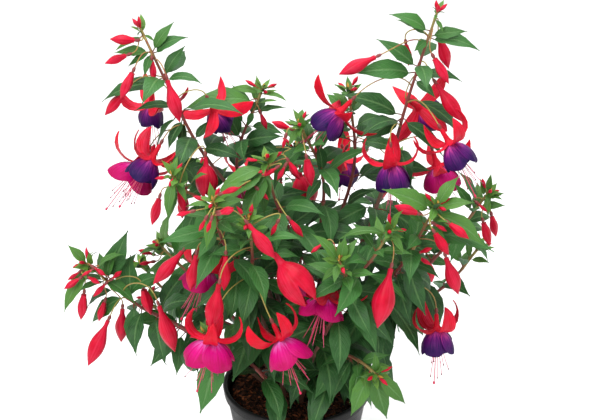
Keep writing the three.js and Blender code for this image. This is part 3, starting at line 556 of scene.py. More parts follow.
def stand_for(piece: Piece, node: str) -> None:
    """Puts a piece on the one body, and hides the node that it replaces.

    Args:
        piece: The piece.
        node: Node that it stands for.
    """
    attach(piece, "root")
    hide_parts(node)
    log.info("%s: %d faces", piece.name, len(piece.data.polygons))


def same_traits(shape: tuple[int, ...], age: Any, chance: Any, side: Any) -> Array:
    """Traits of ring points of a shape, each a number or an array that spreads over the shape."""
    return np.stack([np.broadcast_to(trait, shape) for trait in (age, chance, side)], axis=-1)


def packed_points(node: Piece) -> Array:
    """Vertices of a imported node, in millimetres.

    Args:
        node: The node.

    Returns:
        The points.
    """
    points = np.empty(len(node.data.vertices) * 3)
    node.data.vertices.foreach_get("co", points)
    return points.reshape(-1, 3) / MM


# Shapes that several sub-assemblies use


@dataclass(frozen=True)
class BladeForm:
    """Sizes of a thin pointed blade, lengths in millimetres, the rest as parts of its half width."""

    rows: tuple[float, ...]
    widths: tuple[float, ...]
    section: tuple[Array, Array]
    thick: float = 0.16
    rib: float = 0.4
    fold: float = 0.16
    arch: float = 0.07
    cup: float = 0.0
    tooth: float = 0.0
    wave: float = 0.0
    waves: float = 2.3
    stalk: float = 0.0
    twist: float = 0.0


@dataclass
class Blade:
    """Place of one blade: its root on the wood, its foot, and the arc that it bends along."""

    root: Array
    foot: Array
    along: Array
    face: Array
    length: float
    bend: float
    half: float
    age: float
    chance: float

    def point(self, part: float) -> Array:
        """Point part of the way along the arc."""
        reach, angle = self.length / self.bend, self.bend * part
        return (self.foot + self.along * (reach * math.sin(angle))
                - self.face * (reach * (1 - math.cos(angle))))

    def lit(self) -> "Blade":
        """The same leaf with its face turned to the light."""
        return bowed(self.root, self.foot, self.point(1.0), (LEAF_WIDTH, self.bend), self.age, self.chance)


def ellipse(sides: int) -> tuple[Array, Array]:
    """Ring of an oval section from one edge: minus the cosine across, the sine through, of one turn."""
    angle = FULL_TURN * np.arange(sides) / sides
    return -np.cos(angle), np.sin(angle)


def add_blades(skin: Skin, form: BladeForm, blades: list[Blade]) -> None:
    """Adds thin closed blades. A row's centre lies on the arc, x times the half width to the side,
    and is raised by fold |x|, by an arch sin(pi |x|), and at the edges by a wave along the length,
    and lowered by a cup x squared. A twist about the arc grows evenly to the tip.
    The half width is the row's own, its edge points drawn in at every other row as teeth. Half the
    thickness lies on each side, with a rib (1 - |x|) squared below. The stalk is a thin round run
    from the root to the foot.

    Args:
        skin: Skin that takes the blades.
        form: Their form.
        blades: Their places.
    """
    if not blades:
        return
    root, foot, along, face = (
        np.array([getattr(blade, key) for blade in blades]) for key in ("root", "foot", "along", "face"))
    length, bend, half, age, chance = (
        np.array([getattr(blade, key) for blade in blades])[:, None]
        for key in ("length", "bend", "half", "age", "chance"))
    side = unit(np.cross(along, face))
    x, y = form.section
    t, widths = np.array(form.rows), np.array(form.widths)
    angle, reach = bend * t, length / bend
    centre = (foot[:, None] + along[:, None] * (reach * np.sin(angle))[..., None]
              - face[:, None] * (reach * (1 - np.cos(angle)))[..., None])
    plain = face[:, None] * np.cos(angle)[..., None] + along[:, None] * np.sin(angle)[..., None]
    twist = (form.twist * (2 * chance - 1) * t)[..., None]
    across = side[:, None] * np.cos(twist) + plain * np.sin(twist)
    normal = plain * np.cos(twist) - side[:, None] * np.sin(twist)
    toothed = 1 - form.tooth * (np.arange(len(t)) % 2)[:, None] * (np.abs(x) > 0.99)
    wide = (half * widths)[..., None]
    wave = form.wave * np.sin(FULL_TURN * (form.waves * t + chance))[..., None] * x * np.abs(x)
    swing = form.wave * 1.5 * np.sin(math.pi * t + FULL_TURN * chance)[..., None]
    lift = wide * (form.fold * np.abs(x) + form.arch * np.sin(math.pi * np.abs(x)) - form.cup * x**2 + wave)
    rib = form.rib * (1 - np.abs(x)) ** 2 * (1 - 0.75 * t[:, None])
    deep = y * (form.thick + rib * (y < 0))
    rings = (centre[:, :, None] + across[:, :, None] * (wide * (x * toothed + swing * 0.4))[..., None]
             + normal[:, :, None] * (lift + deep)[..., None])
    flow = t
    if form.stalk > 0:
        part = np.array([0.0, 0.5, 0.97])
        sag = (4 * part * (1 - part) * 0.03)[None, :, None] * length[..., None]
        line = root[:, None] + (foot - root)[:, None] * part[:, None] + face[:, None] * sag
        radius = form.stalk * np.array([1.25, 1.0, 0.95])
        section = side[:, None, None] * x[:, None] + face[:, None, None] * y[:, None]
        rings = np.concatenate([line[:, :, None] + section * radius[:, None, None], rings], axis=1)
        flow = np.concatenate([-0.2 * (1 - part), t])
    tip = foot + along * (reach * np.sin(bend)) - face * (reach * (1 - np.cos(bend)))
    traits = same_traits(rings.shape[:3], age[..., None], chance[..., None], y)
    skin.add_tubes(rings, rings[:, 0].mean(axis=1), tip, 0.5 + 0.5 * x, flow, traits)


@dataclass
class Run:
    """Round tube along a line of points, with ridges that rise and fall round it."""

    centres: Array
    radii: Array
    sides: int = 8
    ridges: int = 0
    ridge: float = 0.0
    age: Array | float = 0.0
    chance: float = 0.5
    turn: float = 0.0

    def add_to(self, skin: Skin) -> None:
        """Adds the tube: rings square to the line, each turned from the last by no more than the
        line itself, and radii times 1 + ridge cos(ridges angle).

        Args:
            skin: Skin that takes it.
        """
        rows = len(self.centres)
        along = unit(np.gradient(self.centres, axis=0))
        first = round_about(along[0], self.turn)
        firsts = np.empty((rows, 3))
        for i in range(rows):
            first = unit(first - along[i] * first.dot(along[i]))
            firsts[i] = first
        seconds = np.cross(along, firsts)
        angle = FULL_TURN * np.arange(self.sides) / self.sides
        ridged = 1 + self.ridge * np.cos(self.ridges * angle)
        section = firsts[:, None] * np.cos(angle)[:, None] + seconds[:, None] * np.sin(angle)[:, None]
        rings = self.centres[:, None] + section * (np.array(self.radii)[:, None] * ridged)[..., None]
        flow = np.linspace(0, 1, rows)
        age = np.broadcast_to(self.age, (rows,))[:, None]
        traits = same_traits((1, rows, self.sides), age, self.chance, 1.0)
        around = 0.5 - 0.5 * np.cos(angle)
        skin.add_tubes(rings[None], self.centres[:1], self.centres[-1:], around, flow, traits)


# Finishes


class Bench:
    """Places shader nodes in a tree and joins their sockets."""

    def __init__(self, tree: bpy.types.NodeTree) -> None:
        """Works on the node tree of a material or a group."""
        self.tree = tree

    def feed(self, socket: Socket, value: Any) -> None:
        """Joins an output to a socket, or sets the socket to a number or colour.

        Args:
            socket: The input.
            value: An output socket or a plain value.
        """
        if isinstance(value, Socket):
            self.tree.links.new(value, socket)
        else:
            socket.default_value = value

    def add(self, kind: str, inputs: dict[Any, Any] | None = None, **settings: Any) -> Node:
        """Places a shader node.

        Args:
            kind: Type of the node, without the first words that the types of all shader nodes share.
            inputs: Values or outputs for its inputs, by name or number.
            settings: Its own settings.

        Returns:
            The node.
        """
        node = self.tree.nodes.new(f"ShaderNode{kind}")
        for key, value in settings.items():
            setattr(node, key, value)
        for key, value in (inputs or {}).items():
            self.feed(node.inputs[key], value)
        return node

    def math(self, operation: str, *numbers: Any) -> Socket:
        """Result of a sum on up to three numbers."""
        return self.add("Math", dict(enumerate(numbers)), operation=operation).outputs[0]

    def times(self, first: Any, second: Any) -> Socket:
        """Product of two numbers."""
        return self.math("MULTIPLY", first, second)

    def line(self, value: Any, slope: Any, start: Any) -> Socket:
        """A value times a slope, plus a start."""
        return self.math("MULTIPLY_ADD", value, slope, start)

    def smooth(self, value: Any, low: float, high: float) -> Socket:
        """Soft step from 0 at low to 1 at high."""
        inputs = {0: value, 1: low, 2: high, 3: 0.0, 4: 1.0}
        return self.add("MapRange", inputs, interpolation_type="SMOOTHSTEP").outputs[0]

    def layers(self, ground: Any, *coats: tuple[Any, Any]) -> Any:
        """Ground colour under coats, each laid on by its own mask.

        Args:
            ground: Colour of the ground.
            coats: Mask and colour of each coat.

        Returns:
            The colour.
        """
        for mask, colour in coats:
            ground = self.add("Mix", {0: mask, 6: ground, 7: colour}, data_type="RGBA").outputs[2]
        return ground

    def noise(self, where: Any, scale: Any, detail: float = 3.0) -> Socket:
        """Cloudy pattern between 0 and 1."""
        return self.add("TexNoise", {"Vector": where, "Scale": scale, "Detail": detail}).outputs["Fac"]

    def object_place(self) -> Socket:
        """Place in the object's own frame, in metres."""
        return self.add("TexCoord").outputs["Object"]

    def parts(self, triple: Socket) -> tuple[Socket, Socket, Socket]:
        """The three numbers of a vector."""
        first, second, third = self.add("SeparateXYZ", {0: triple}).outputs
        return first, second, third

    def uv(self) -> tuple[Socket, Socket]:
        """UV of the piece, as parts across and along."""
        return self.parts(self.add("TexCoord").outputs["UV"])[:2]

    def traits(self) -> tuple[Socket, Socket, Socket]:
        """Age, chance and side of the piece."""
        return self.parts(self.add("Attribute", attribute_name="traits").outputs["Vector"])

    def bump(self, height: Any, distance: float, strength: float) -> Socket:
        """Normal of a relief whose depth is a distance in metres."""
        return self.add("Bump", {"Height": height, "Distance": distance, "Strength": strength}).outputs[0]

    def mottle(self, scale: float) -> tuple[Socket, Socket]:
        """Patches and grain of the mottle at a scale."""
        found = self.add("Group", {"Scale": scale}, node_tree=mottle_group()).outputs
        return found["Patches"], found["Grain"]

    def streaks(self, count: float) -> Socket:
        """Lines that run the length of a petal, so many across it."""
        return self.add("Group", {"Count": count}, node_tree=streak_group()).outputs["Lines"]

    def veins(self, count: float, slant: float) -> tuple[Socket, Socket]:
        """Midrib and side veins of a leaf."""
        found = self.add("Group", {"Count": count, "Slant": slant}, node_tree=vein_group()).outputs
        return found["Midrib"], found["Side veins"]


def new_group(name: str, inputs: dict[str, float], outputs: list[str]) -> tuple[Bench, Node, Node]:
    """Starts a shader node group of plain numbers.

    Args:
        name: Name of the group.
        inputs: Names and first values of its inputs.
        outputs: Names of its outputs.

    Returns:
        Its bench, its input node and its output node.
    """
    tree = bpy.data.node_groups.new(name, "ShaderNodeTree")
    for key, value in inputs.items():
        socket = tree.interface.new_socket(key, in_out="INPUT", socket_type="NodeSocketFloat")
        socket.default_value = value
    for key in outputs:
        tree.interface.new_socket(key, in_out="OUTPUT", socket_type="NodeSocketFloat")
    return Bench(tree), tree.nodes.new("NodeGroupInput"), tree.nodes.new("NodeGroupOutput")


@cache
def mottle_group() -> bpy.types.NodeTree:
    """Soft patches and a fine grain on object coordinates: noise at a scale, and at eight times it.

    Returns:
        The group, made once.
    """
    bench, inside, outside = new_group("Mottle", {"Scale": 100.0}, ["Patches", "Grain"])
    place, scale = bench.object_place(), inside.outputs["Scale"]
    bench.feed(outside.inputs["Patches"], bench.smooth(bench.noise(place, scale), 0.3, 0.7))
    bench.feed(outside.inputs["Grain"], bench.noise(place, bench.times(scale, 8.0), 2.0))
    return bench.tree


@cache
def vein_group() -> bpy.types.NodeTree:
    """Leaf veins on the UV map: a midrib where u is 0.5, and side veins that leave it at even steps of
    v and slant towards the tip as they near the edge, so a vein is where v - slant |2u - 1|^1.25,
    times the count, is a whole number.

    Returns:
        The group, made once.
    """
    bench, inside, outside = new_group("Veins", {"Count": 9.0, "Slant": 0.3}, ["Midrib", "Side veins"])
    u, v = bench.uv()
    off = bench.math("ABSOLUTE", bench.line(u, 2.0, -1.0))
    slanted = bench.times(bench.math("POWER", off, 1.25), inside.outputs["Slant"])
    run = bench.times(bench.math("SUBTRACT", v, slanted), inside.outputs["Count"])
    phase = bench.math("FRACT", bench.math("ADD", run, 50.0))
    near = bench.math("ABSOLUTE", bench.line(phase, 2.0, -1.0))
    fading = bench.times(bench.smooth(near, 0.72, 0.98), bench.smooth(off, 1.0, 0.55))
    bench.feed(outside.inputs["Side veins"], fading)
    bench.feed(outside.inputs["Midrib"], bench.smooth(off, 0.16, 0.03))
    return bench.tree


@cache
def streak_group() -> bpy.types.NodeTree:
    """Fine lines that run the length of a petal: noise stretched along v, on the UV map.

    Returns:
        The group, made once.
    """
    bench, inside, outside = new_group("Streaks", {"Count": 24.0}, ["Lines"])
    u, v = bench.uv()
    across, along = bench.times(u, inside.outputs["Count"]), bench.times(v, 1.4)
    stretched = bench.add("CombineXYZ", {0: across, 1: along}).outputs[0]
    bench.feed(outside.inputs["Lines"], bench.smooth(bench.noise(stretched, 1.0, 2.0), 0.36, 0.66))
    return bench.tree


@dataclass(frozen=True)
class Finish:
    """What every finish states: its name, its specular level, and its relief's depth in metres and
    strength. Each kind paints its own colour, roughness and relief."""

    name: str
    gloss: float = 0.5
    depth: float = 0.0002
    strength: float = 0.4

    def material(self) -> Material:
        """Material with a Principled shader that takes what the finish paints.

        Returns:
            The material.
        """
        material = bpy.data.materials.new(self.name)
        material.use_nodes = True
        material.node_tree.nodes.clear()
        bench = Bench(material.node_tree)
        colour, roughness, relief = self.paint(bench)
        inputs = {"Base Color": colour, "Roughness": roughness, "Specular IOR Level": self.gloss}
        if relief is not None:
            inputs["Normal"] = bench.bump(relief, self.depth, self.strength)
        shader = bench.add("BsdfPrincipled", inputs)
        bench.add("OutputMaterial", {"Surface": shader.outputs[0]})
        return material

    def paint(self, bench: Bench) -> Paint:
        """Colour, roughness and relief, which each kind of finish gives."""
        raise NotImplementedError


@dataclass(frozen=True)
class LeafFinish(Finish):
    """Toothed leaf: pale and yellow-green when young, deep green when old, with paler veins."""

    name: str = "leaf"
    gloss: float = 0.3
    depth: float = 0.0004
    strength: float = 0.7
    old: Colour = srgb(24, 64, 24)
    middle: Colour = srgb(52, 106, 40)
    young: Colour = srgb(96, 136, 46)
    heart: Colour = srgb(184, 136, 46)
    blotch: Colour = srgb(58, 106, 52)
    vein: Colour = srgb(96, 136, 80)
    under: Colour = srgb(76, 116, 82)
    tinge: Colour = srgb(130, 40, 36)

    def paint(self, bench: Bench) -> Paint:
        """Green by age, mottled by noise, veins lighter and sunk, underside paler, stalk tinged red.

        Args:
            bench: Bench of the material.

        Returns:
            Colour, roughness and relief.
        """
        age, chance, side = bench.traits()
        _, v = bench.uv()
        patches, grain = bench.mottle(130.0)
        midrib, branches = bench.veins(9.0, 0.3)
        beneath = bench.layers(self.under, (bench.times(midrib, 0.6), self.vein))
        green = bench.layers(
            self.young, (bench.smooth(age, 0.0, 0.32), self.middle),
            (bench.smooth(bench.line(chance, 0.7, age), 0.35, 1.35), self.old),
            (bench.times(patches, 0.4), self.blotch), (bench.smooth(age, 0.05, 0.01), self.heart),
            (bench.times(branches, 0.16), self.vein), (bench.times(midrib, 0.5), self.vein),
            (bench.smooth(side, -0.02, -0.3), beneath), (bench.smooth(v, 0.03, -0.12), self.tinge))
        sunk = bench.math("ADD", branches, bench.times(midrib, 1.3))
        return green, bench.line(patches, 0.14, 0.42), bench.line(sunk, -1.0, bench.times(grain, 0.5))


@dataclass(frozen=True)
class BarkFinish(Finish):
    """Stem bark: red-brown and woody low down, reddish green at the tips."""

    name: str = "stem_bark"
    depth: float = 0.0004
    strength: float = 0.6
    wood: Colour = srgb(92, 60, 46)
    red: Colour = srgb(124, 50, 46)
    green: Colour = srgb(140, 132, 66)
    cork: Colour = srgb(98, 62, 44)

    def paint(self, bench: Bench) -> Paint:
        """Colour by age, corky patches and a fine grain.

        Args:
            bench: Bench of the material.

        Returns:
            Colour, roughness and relief.
        """
        age, _, _ = bench.traits()
        patches, grain = bench.mottle(220.0)
        colour = bench.layers(
            self.green, (bench.smooth(age, 0.0, 0.25), self.red), (bench.smooth(age, 0.45, 0.95), self.wood),
            (bench.times(patches, 0.4), self.cork))
        return colour, bench.line(grain, 0.2, 0.45), grain


@dataclass(frozen=True)
class StalkFinish(Finish):
    """Flower stalk: yellow-green with a red blush, dark red at the ovary and bright at its neck."""

    name: str = "flower_stalk"
    stalk: Colour = srgb(150, 138, 64)
    blush: Colour = srgb(140, 52, 46)
    ovary: Colour = srgb(118, 46, 44)
    neck: Colour = srgb(190, 40, 50)

    def paint(self, bench: Bench) -> Paint:
        """Colour along the stalk, mottled.

        Args:
            bench: Bench of the material.

        Returns:
            Colour, roughness and relief.
        """
        age, chance, _ = bench.traits()
        patches, grain = bench.mottle(300.0)
        blush = bench.times(patches, bench.smooth(chance, 0.1, 0.9))
        colour = bench.layers(
            self.stalk, (blush, self.blush), (bench.smooth(age, 0.45, 0.6), self.ovary),
            (bench.smooth(age, 0.85, 1.0), self.neck))
        return colour, bench.line(grain, 0.2, 0.35), grain


@dataclass(frozen=True)
class WaxyFinish(Finish):
    """Waxy red sepals, tubes and buds, with a painted pink highlight along streaks."""

    name: str = "sepal"
    gloss: float = 0.14
    depth: float = 0.0003
    strength: float = 0.45
    deep: Colour = srgb(178, 0, 22)
    bright: Colour = srgb(212, 1, 38)
    # Painted highlight: the pink laid along streaks stands in for light on the lit flank
    highlight_pink: Colour = srgb(226, 70, 104)

    def paint(self, bench: Bench) -> Paint:
        """Two reds by patches, a painted pink highlight along streaks, and faint ribs along the length.

        Args:
            bench: Bench of the material.

        Returns:
            Colour, roughness and relief.
        """
        _, chance, side = bench.traits()
        patches, grain = bench.mottle(90.0)
        lines = bench.streaks(14.0)
        # The pink coat along the streaks is a painted highlight
        colour = bench.layers(
            self.deep, (patches, self.bright), (bench.times(lines, bench.line(chance, 0.4, 0.1)), self.highlight_pink),
            (bench.times(bench.smooth(side, -0.1, 0.1), 0.35), self.deep))
        return colour, bench.line(patches, 0.12, 0.36), bench.line(lines, 0.7, grain)


@dataclass(frozen=True)
class PetalFinish(Finish):
    """Silky corolla petals: a pale pink base, partly their own colour and partly a painted highlight, that
    runs into the petal's colour along its veins, with painted shade on the inside.
    """

    name: str = "violet_petal"
    gloss: float = 0.15
    depth: float = 0.00035
    strength: float = 0.5
    # Pale base: the petal's own pink, and also a painted highlight
    base: Colour = srgb(204, 70, 150)
    middle: Colour = srgb(92, 10, 102)
    # Hem colour, also laid over the inside of the bell as painted shade
    hem_and_inner_shade: Colour = srgb(28, 8, 66)

    def paint(self, bench: Bench) -> Paint:
        """Colour along the petal, its steps drawn out by streaks, with the inside darkened as painted shade.

        Args:
            bench: Bench of the material.

        Returns:
            Colour, roughness and relief.
        """
        _, chance, side = bench.traits()
        _, v = bench.uv()
        lines = bench.streaks(20.0)
        patches, grain = bench.mottle(110.0)
        run = bench.line(lines, 0.2, bench.line(chance, 0.16, v))
        # The pale base is partly a painted highlight; the inside of the bell is darkened as painted shade
        colour = bench.layers(
            self.base, (bench.smooth(run, 0.16, 0.6), self.middle), (bench.smooth(run, 0.46, 1.0), self.hem_and_inner_shade),
            (bench.times(patches, 0.25), self.middle),
            (bench.times(bench.smooth(side, 0.1, -0.1), 0.5), self.hem_and_inner_shade))
        return colour, bench.line(lines, 0.12, 0.46), bench.line(lines, 1.0, grain)


@dataclass(frozen=True)
class StamenFinish(Finish):
    """Stamens and style: pinkish red threads, a dark pink stigma and dusky anthers."""

    name: str = "stamen"
    thread: Colour = srgb(196, 22, 66)
    pale: Colour = srgb(206, 84, 132)
    stigma: Colour = srgb(200, 24, 74)
    anther: Colour = srgb(120, 50, 70)

    def paint(self, bench: Bench) -> Paint:
        """Thread colour, and the stigma's and the anthers' where the age trait says so.

        Args:
            bench: Bench of the material.

        Returns:
            Colour, roughness and relief.
        """
        age, _, _ = bench.traits()
        patches, grain = bench.mottle(400.0)
        colour = bench.layers(
            self.thread, (bench.times(patches, 0.7), self.pale), (bench.smooth(age, 0.45, 0.55), self.stigma),
            (bench.smooth(age, 0.8, 0.9), self.anther))
        return colour, bench.line(grain, 0.2, 0.4), grain


@dataclass(frozen=True)
class PotFinish(Finish):
    """Thin black nursery plastic, with fine texture, dust, and hoop lines so many radians a metre."""

    name: str = "pot_plastic"
    gloss: float = 0.2
    strength: float = 0.35
    plastic: Colour = srgb(13, 13, 14)
    dust: Colour = srgb(56, 52, 48)
    hoops: float = 2600.0

    def paint(self, bench: Bench) -> Paint:
        """Black with dust in patches and hoop lines round the wall.

        Args:
            bench: Bench of the material.

        Returns:
            Colour, roughness and relief.
        """
        patches, _ = bench.mottle(45.0)
        _, grain = bench.mottle(900.0)
        dusty = bench.times(patches, bench.smooth(grain, 0.45, 0.7))
        colour = bench.layers(self.plastic, (bench.times(dusty, 0.2), self.dust))
        height = bench.parts(bench.object_place())[2]
        hoops = bench.math("SINE", bench.times(height, self.hoops))
        return colour, bench.line(patches, 0.15, 0.4), bench.line(hoops, 0.35, grain)


@dataclass(frozen=True)
class CompostFinish(Finish):
    """Dark bark compost: wet black-brown between lighter red-brown fibres."""

    name: str = "compost"
    gloss: float = 0.15
    depth: float = 0.0012
    strength: float = 0.8
    dark: Colour = srgb(7, 4, 3)
    light: Colour = srgb(40, 22, 14)
    fleck: Colour = srgb(160, 98, 62)

    def paint(self, bench: Bench) -> Paint:
        """Two browns by noise at two scales, and coarse bump.

        Args:
            bench: Bench of the material.

        Returns:
            Colour, roughness and relief.
        """
        _, chance, _ = bench.traits()
        patches, grain = bench.mottle(240.0)
        lit = bench.times(patches, bench.line(chance, 0.9, 0.15))
        colour = bench.layers(self.dark, (lit, self.light), (bench.smooth(grain, 0.6, 0.78), self.fleck))
        return colour, bench.line(grain, 0.3, 0.6), grain


@dataclass(frozen=True)
class FloorFinish(Finish):
    """Plain pale studio floor."""

    name: str = "studio_floor"
    pale: Colour = (0.9, 0.9, 0.9, 1.0)
    shade: Colour = (0.86, 0.86, 0.86, 1.0)
    roughness: float = 0.8

    def paint(self, bench: Bench) -> Paint:
        """Even white with the least change of shade, and no relief."""
        patches = bench.times(bench.noise(bench.object_place(), 2.0), 0.05)
        return bench.layers(self.pale, (patches, self.shade)), self.roughness, None


@dataclass
class Wardrobe:
    """All finishes of the plant and its pot, made once."""

    leaf: Material = field(default_factory=LeafFinish().material)
    bark: Material = field(default_factory=BarkFinish().material)
    stalk: Material = field(default_factory=StalkFinish().material)
    sepal: Material = field(default_factory=WaxyFinish().material)
    bud: Material = field(
        default_factory=WaxyFinish("bud", deep=srgb(166, 0, 30), bright=srgb(204, 10, 50)).material)
    violet: Material = field(default_factory=PetalFinish().material)
    magenta: Material = field(default_factory=PetalFinish(
        "magenta_petal", base=srgb(216, 116, 196), middle=srgb(196, 0, 116), hem_and_inner_shade=srgb(164, 0, 78)).material)
    stamen: Material = field(default_factory=StamenFinish().material)
    pot: Material = field(default_factory=PotFinish().material)
    compost: Material = field(default_factory=CompostFinish().material)
    chip: Material = field(
        default_factory=CompostFinish("bark_chip", dark=srgb(14, 8, 5), light=srgb(150, 84, 50)).material)


# Growing


class Path:
    """Smooth curve through points, read by the distance walked along it."""

    def __init__(self, points: Array) -> None:
        """Samples a Catmull-Rom curve whose ends run on past the first and last points: between b and
        c with neighbours a and d, its slopes are half of c - a and half of d - b.

        Args:
            points: Points on the curve.
        """
        ends = np.concatenate([[2 * points[0] - points[1]], points, [2 * points[-1] - points[-2]]])
        spans = len(points) - 1
        place = np.arange(SPAN_STEPS * spans + 1) / SPAN_STEPS
        i = np.minimum(place.astype(int), spans - 1)
        w = (place - i)[:, None]
        a, b, c, d = ends[i], ends[i + 1], ends[i + 2], ends[i + 3]
        out, back = (c - a) / 2, (d - b) / 2
        square, cube = 3 * (c - b) - 2 * out - back, 2 * (b - c) + out + back
        self.samples = b + out * w + square * w**2 + cube * w**3
        steps = np.linalg.norm(np.diff(self.samples, axis=0), axis=1)
        self.walked = np.concatenate([[0.0], np.cumsum(steps)])
        self.length = float(self.walked[-1])

    def at(self, distance: Array | float) -> Array:
        """Point at a distance from the start, or points at many."""
        return np.stack([np.interp(distance, self.walked, self.samples[:, i]) for i in range(3)], axis=-1)


class GrowingAxis:
    """One growing axis, a main stem or a side shoot."""

    def __init__(self, points: list[Point], foot_radius: float, leafy: float) -> None:
        """Lays the axis on the same joints as the part's source.

        Args:
            points: Points from the foot to the tip.
            foot_radius: Radius of the wood at the foot.
            leafy: How far below the tip leaves grow.
        """
        self.path = Path(vec(points))
        self.foot_radius = foot_radius
        self.leafy = leafy
        self.length = self.path.length
        self.count = max(2, math.floor(self.length / JOINT_STEP + 0.5))
        self.joints = self.path.at(self.length * np.arange(self.count + 1) / self.count)

    def at(self, distance: float) -> tuple[Array, Array]:
        """Point and unit direction on the straight lengths between joints.

        Args:
            distance: Distance from the foot.

        Returns:
            The point and the direction.
        """
        place = distance * self.count / self.length
        i = min(math.floor(place), self.count - 1)
        a, b = self.joints[i], self.joints[i + 1]
        return a + (b - a) * (place - i), unit(b - a)

    def whorls(self) -> list[float]:
        """Distances of the leaf whorls below the tip, each step wider than the last.

        Returns:
            The distances.
        """
        places, below = [], float(FIRST_WHORL)
        lowest = min(self.leafy, self.length - BARE_FOOT)
        while below < lowest:
            places.append(below)
            below += WHORL_STEP + WHORL_WIDENING * below
        return places

    def wood(self, foot: list[Point]) -> Run:
        """Tapered tube of the wood. Where leaves leave it, its radius swells by a part that falls off
        as exp(-(distance / reach) squared).

        Args:
            foot: Points of the wood below the axis.

        Returns:
            The tube.
        """
        distances = np.append(np.arange(0, self.length, WOOD_STEP), self.length)
        centres = self.path.at(distances)
        tip_radius = STEM_TIP_RADIUS - TIP_TAPER
        radii = self.foot_radius + (tip_radius - self.foot_radius) * distances / self.length
        for below in self.whorls():
            off = (distances - (self.length - below)) / WHORL_REACH
            radii = radii * (1 + WHORL_SWELL * np.exp(-(off**2)))
        age = np.clip((self.length - distances) / OLD_WOOD, 0, 1)
        if foot:
            centres = np.concatenate([vec(foot), centres])
            radii = np.concatenate([np.full(len(foot), self.foot_radius), radii])
            age = np.concatenate([np.ones(len(foot)), age])
        return Run(centres, radii, 10, age=age)


def leaf_place(axis: GrowingAxis, keys: Keys, below: float, way: tuple[float, float, float]) -> Blade:
    """Place of one leaf, by the same rule as in the part's source: its heading from azimuth and pitch
    about the axis, its face towards the light. Leaves lower on the axis stand further from it, bend
    more, and are longer and older.

    Args:
        axis: Axis that carries it.
        keys: Numbers of its stem, axis, whorl and turn.
        below: Distance of its whorl below the tip.
        way: Extra turn and droop in degrees, and size.

    Returns:
        The leaf's place.
    """
    extra_turn, droop, size = way
    whorl, turn = keys[2], keys[3]
    distance = axis.length - below
    point, along = axis.at(distance)
    grown = min(1.0, below / GROWN_BELOW)
    azimuth = 45 + whorl * 90 + turn * 180 + between(-14, 14, *keys, 1) + extra_turn
    pitch = math.radians(30 + 48 * grown + between(-9, 9, *keys, 2) + droop)
    out = round_about(along, math.radians(azimuth))
    heading = unit(out * math.sin(pitch) + along * math.cos(pitch))
    side = unit(np.cross(heading, 0.65 * UP + 0.35 * along))
    face = np.cross(side, heading)
    roll = math.radians(between(-26, 26, *keys, 3))
    face = face * math.cos(roll) + np.cross(heading, face) * math.sin(roll)
    length = min(56, 14 + 0.62 * below) * between(0.9, 1.06, *keys, 4) * size
    bend = 0.3 + grown * between(0.55, 1.15, *keys, 5)
    foot = point + heading * STALK_PART * length
    return Blade(
        axis.path.at(distance), foot, heading, face, length, bend, length * LEAF_WIDTH,
        min(1.0, below / 110), draw(*keys, 9))


def bowed(
    root: Array, foot: Array, tip: Array, form: tuple[float, float], age: float, chance: float
) -> Blade:
    """Leaf that bends from its foot to its tip and turns its face to the light. The line from foot to
    tip is the chord of its arc, so the arc starts half the bend above it and is
    bend / (2 sin(bend / 2)) times as long.

    Args:
        root: Where its stalk leaves the wood.
        foot: Where its blade starts.
        tip: Its tip.
        form: Its half width as a part of its length, and its bend in radians.
        age: Its age, from 0 to 1.
        chance: Number that shifts its colour and its roll.

    Returns:
        The leaf's place.
    """
    wide, bend = form
    chord = unit(tip - foot)
    side = unit(np.cross(chord, LIGHT))
    roll = math.radians(48 * (chance - 0.5))
    face = np.cross(side, chord) * math.cos(roll) + side * math.sin(roll)
    along = chord * math.cos(bend / 2) + face * math.sin(bend / 2)
    face = face * math.cos(bend / 2) - chord * math.sin(bend / 2)
    length = float(np.linalg.norm(tip - foot)) * bend / (2 * math.sin(bend / 2))
    return Blade(root, foot, along, face, length, bend, length * wide, age, chance)


LARGE_ROWS = (0.0, 0.06, 0.15, 0.26, 0.38, 0.5, 0.62, 0.74, 0.85, 0.93, 0.975)
SMALL_ROWS = (0.0, 0.12, 0.3, 0.5, 0.7, 0.88)

# Leaf section: over the face from edge to edge, and back by the rib of the underside
ROOF = (np.array([-1, -0.5, 0, 0.5, 1, 0]), np.array([0, 0.7, 1, 0.7, 0, -1]))


def leaf_widths(rows: tuple[float, ...]) -> tuple[float, ...]:
    """Half widths of a leaf: 1.04 sin(pi row^0.7) to the power 1 + row / 2, no less than its foot's."""
    round_parts = [max(0.0, math.sin(math.pi * row**0.7)) for row in rows]
    return tuple(max(0.06, 1.04 * part ** (1 + row / 2)) for part, row in zip(round_parts, rows, strict=True))


LARGE_LEAF = BladeForm(LARGE_ROWS, leaf_widths(LARGE_ROWS), ROOF, tooth=0.06, wave=0.1, stalk=0.62)
SMALL_LEAF = BladeForm(SMALL_ROWS, leaf_widths(SMALL_ROWS), ROOF, rib=0.25, wave=0.06, stalk=0.45)

# Pairs of young leaves at a tip: how far below it, length, angle from the stem in degrees, age
TIP_PAIRS = ((3.0, 21.0, 66.0, 0.16), (1.0, 13.0, 44.0, 0.08), (0.0, 6.0, 20.0, 0.0))


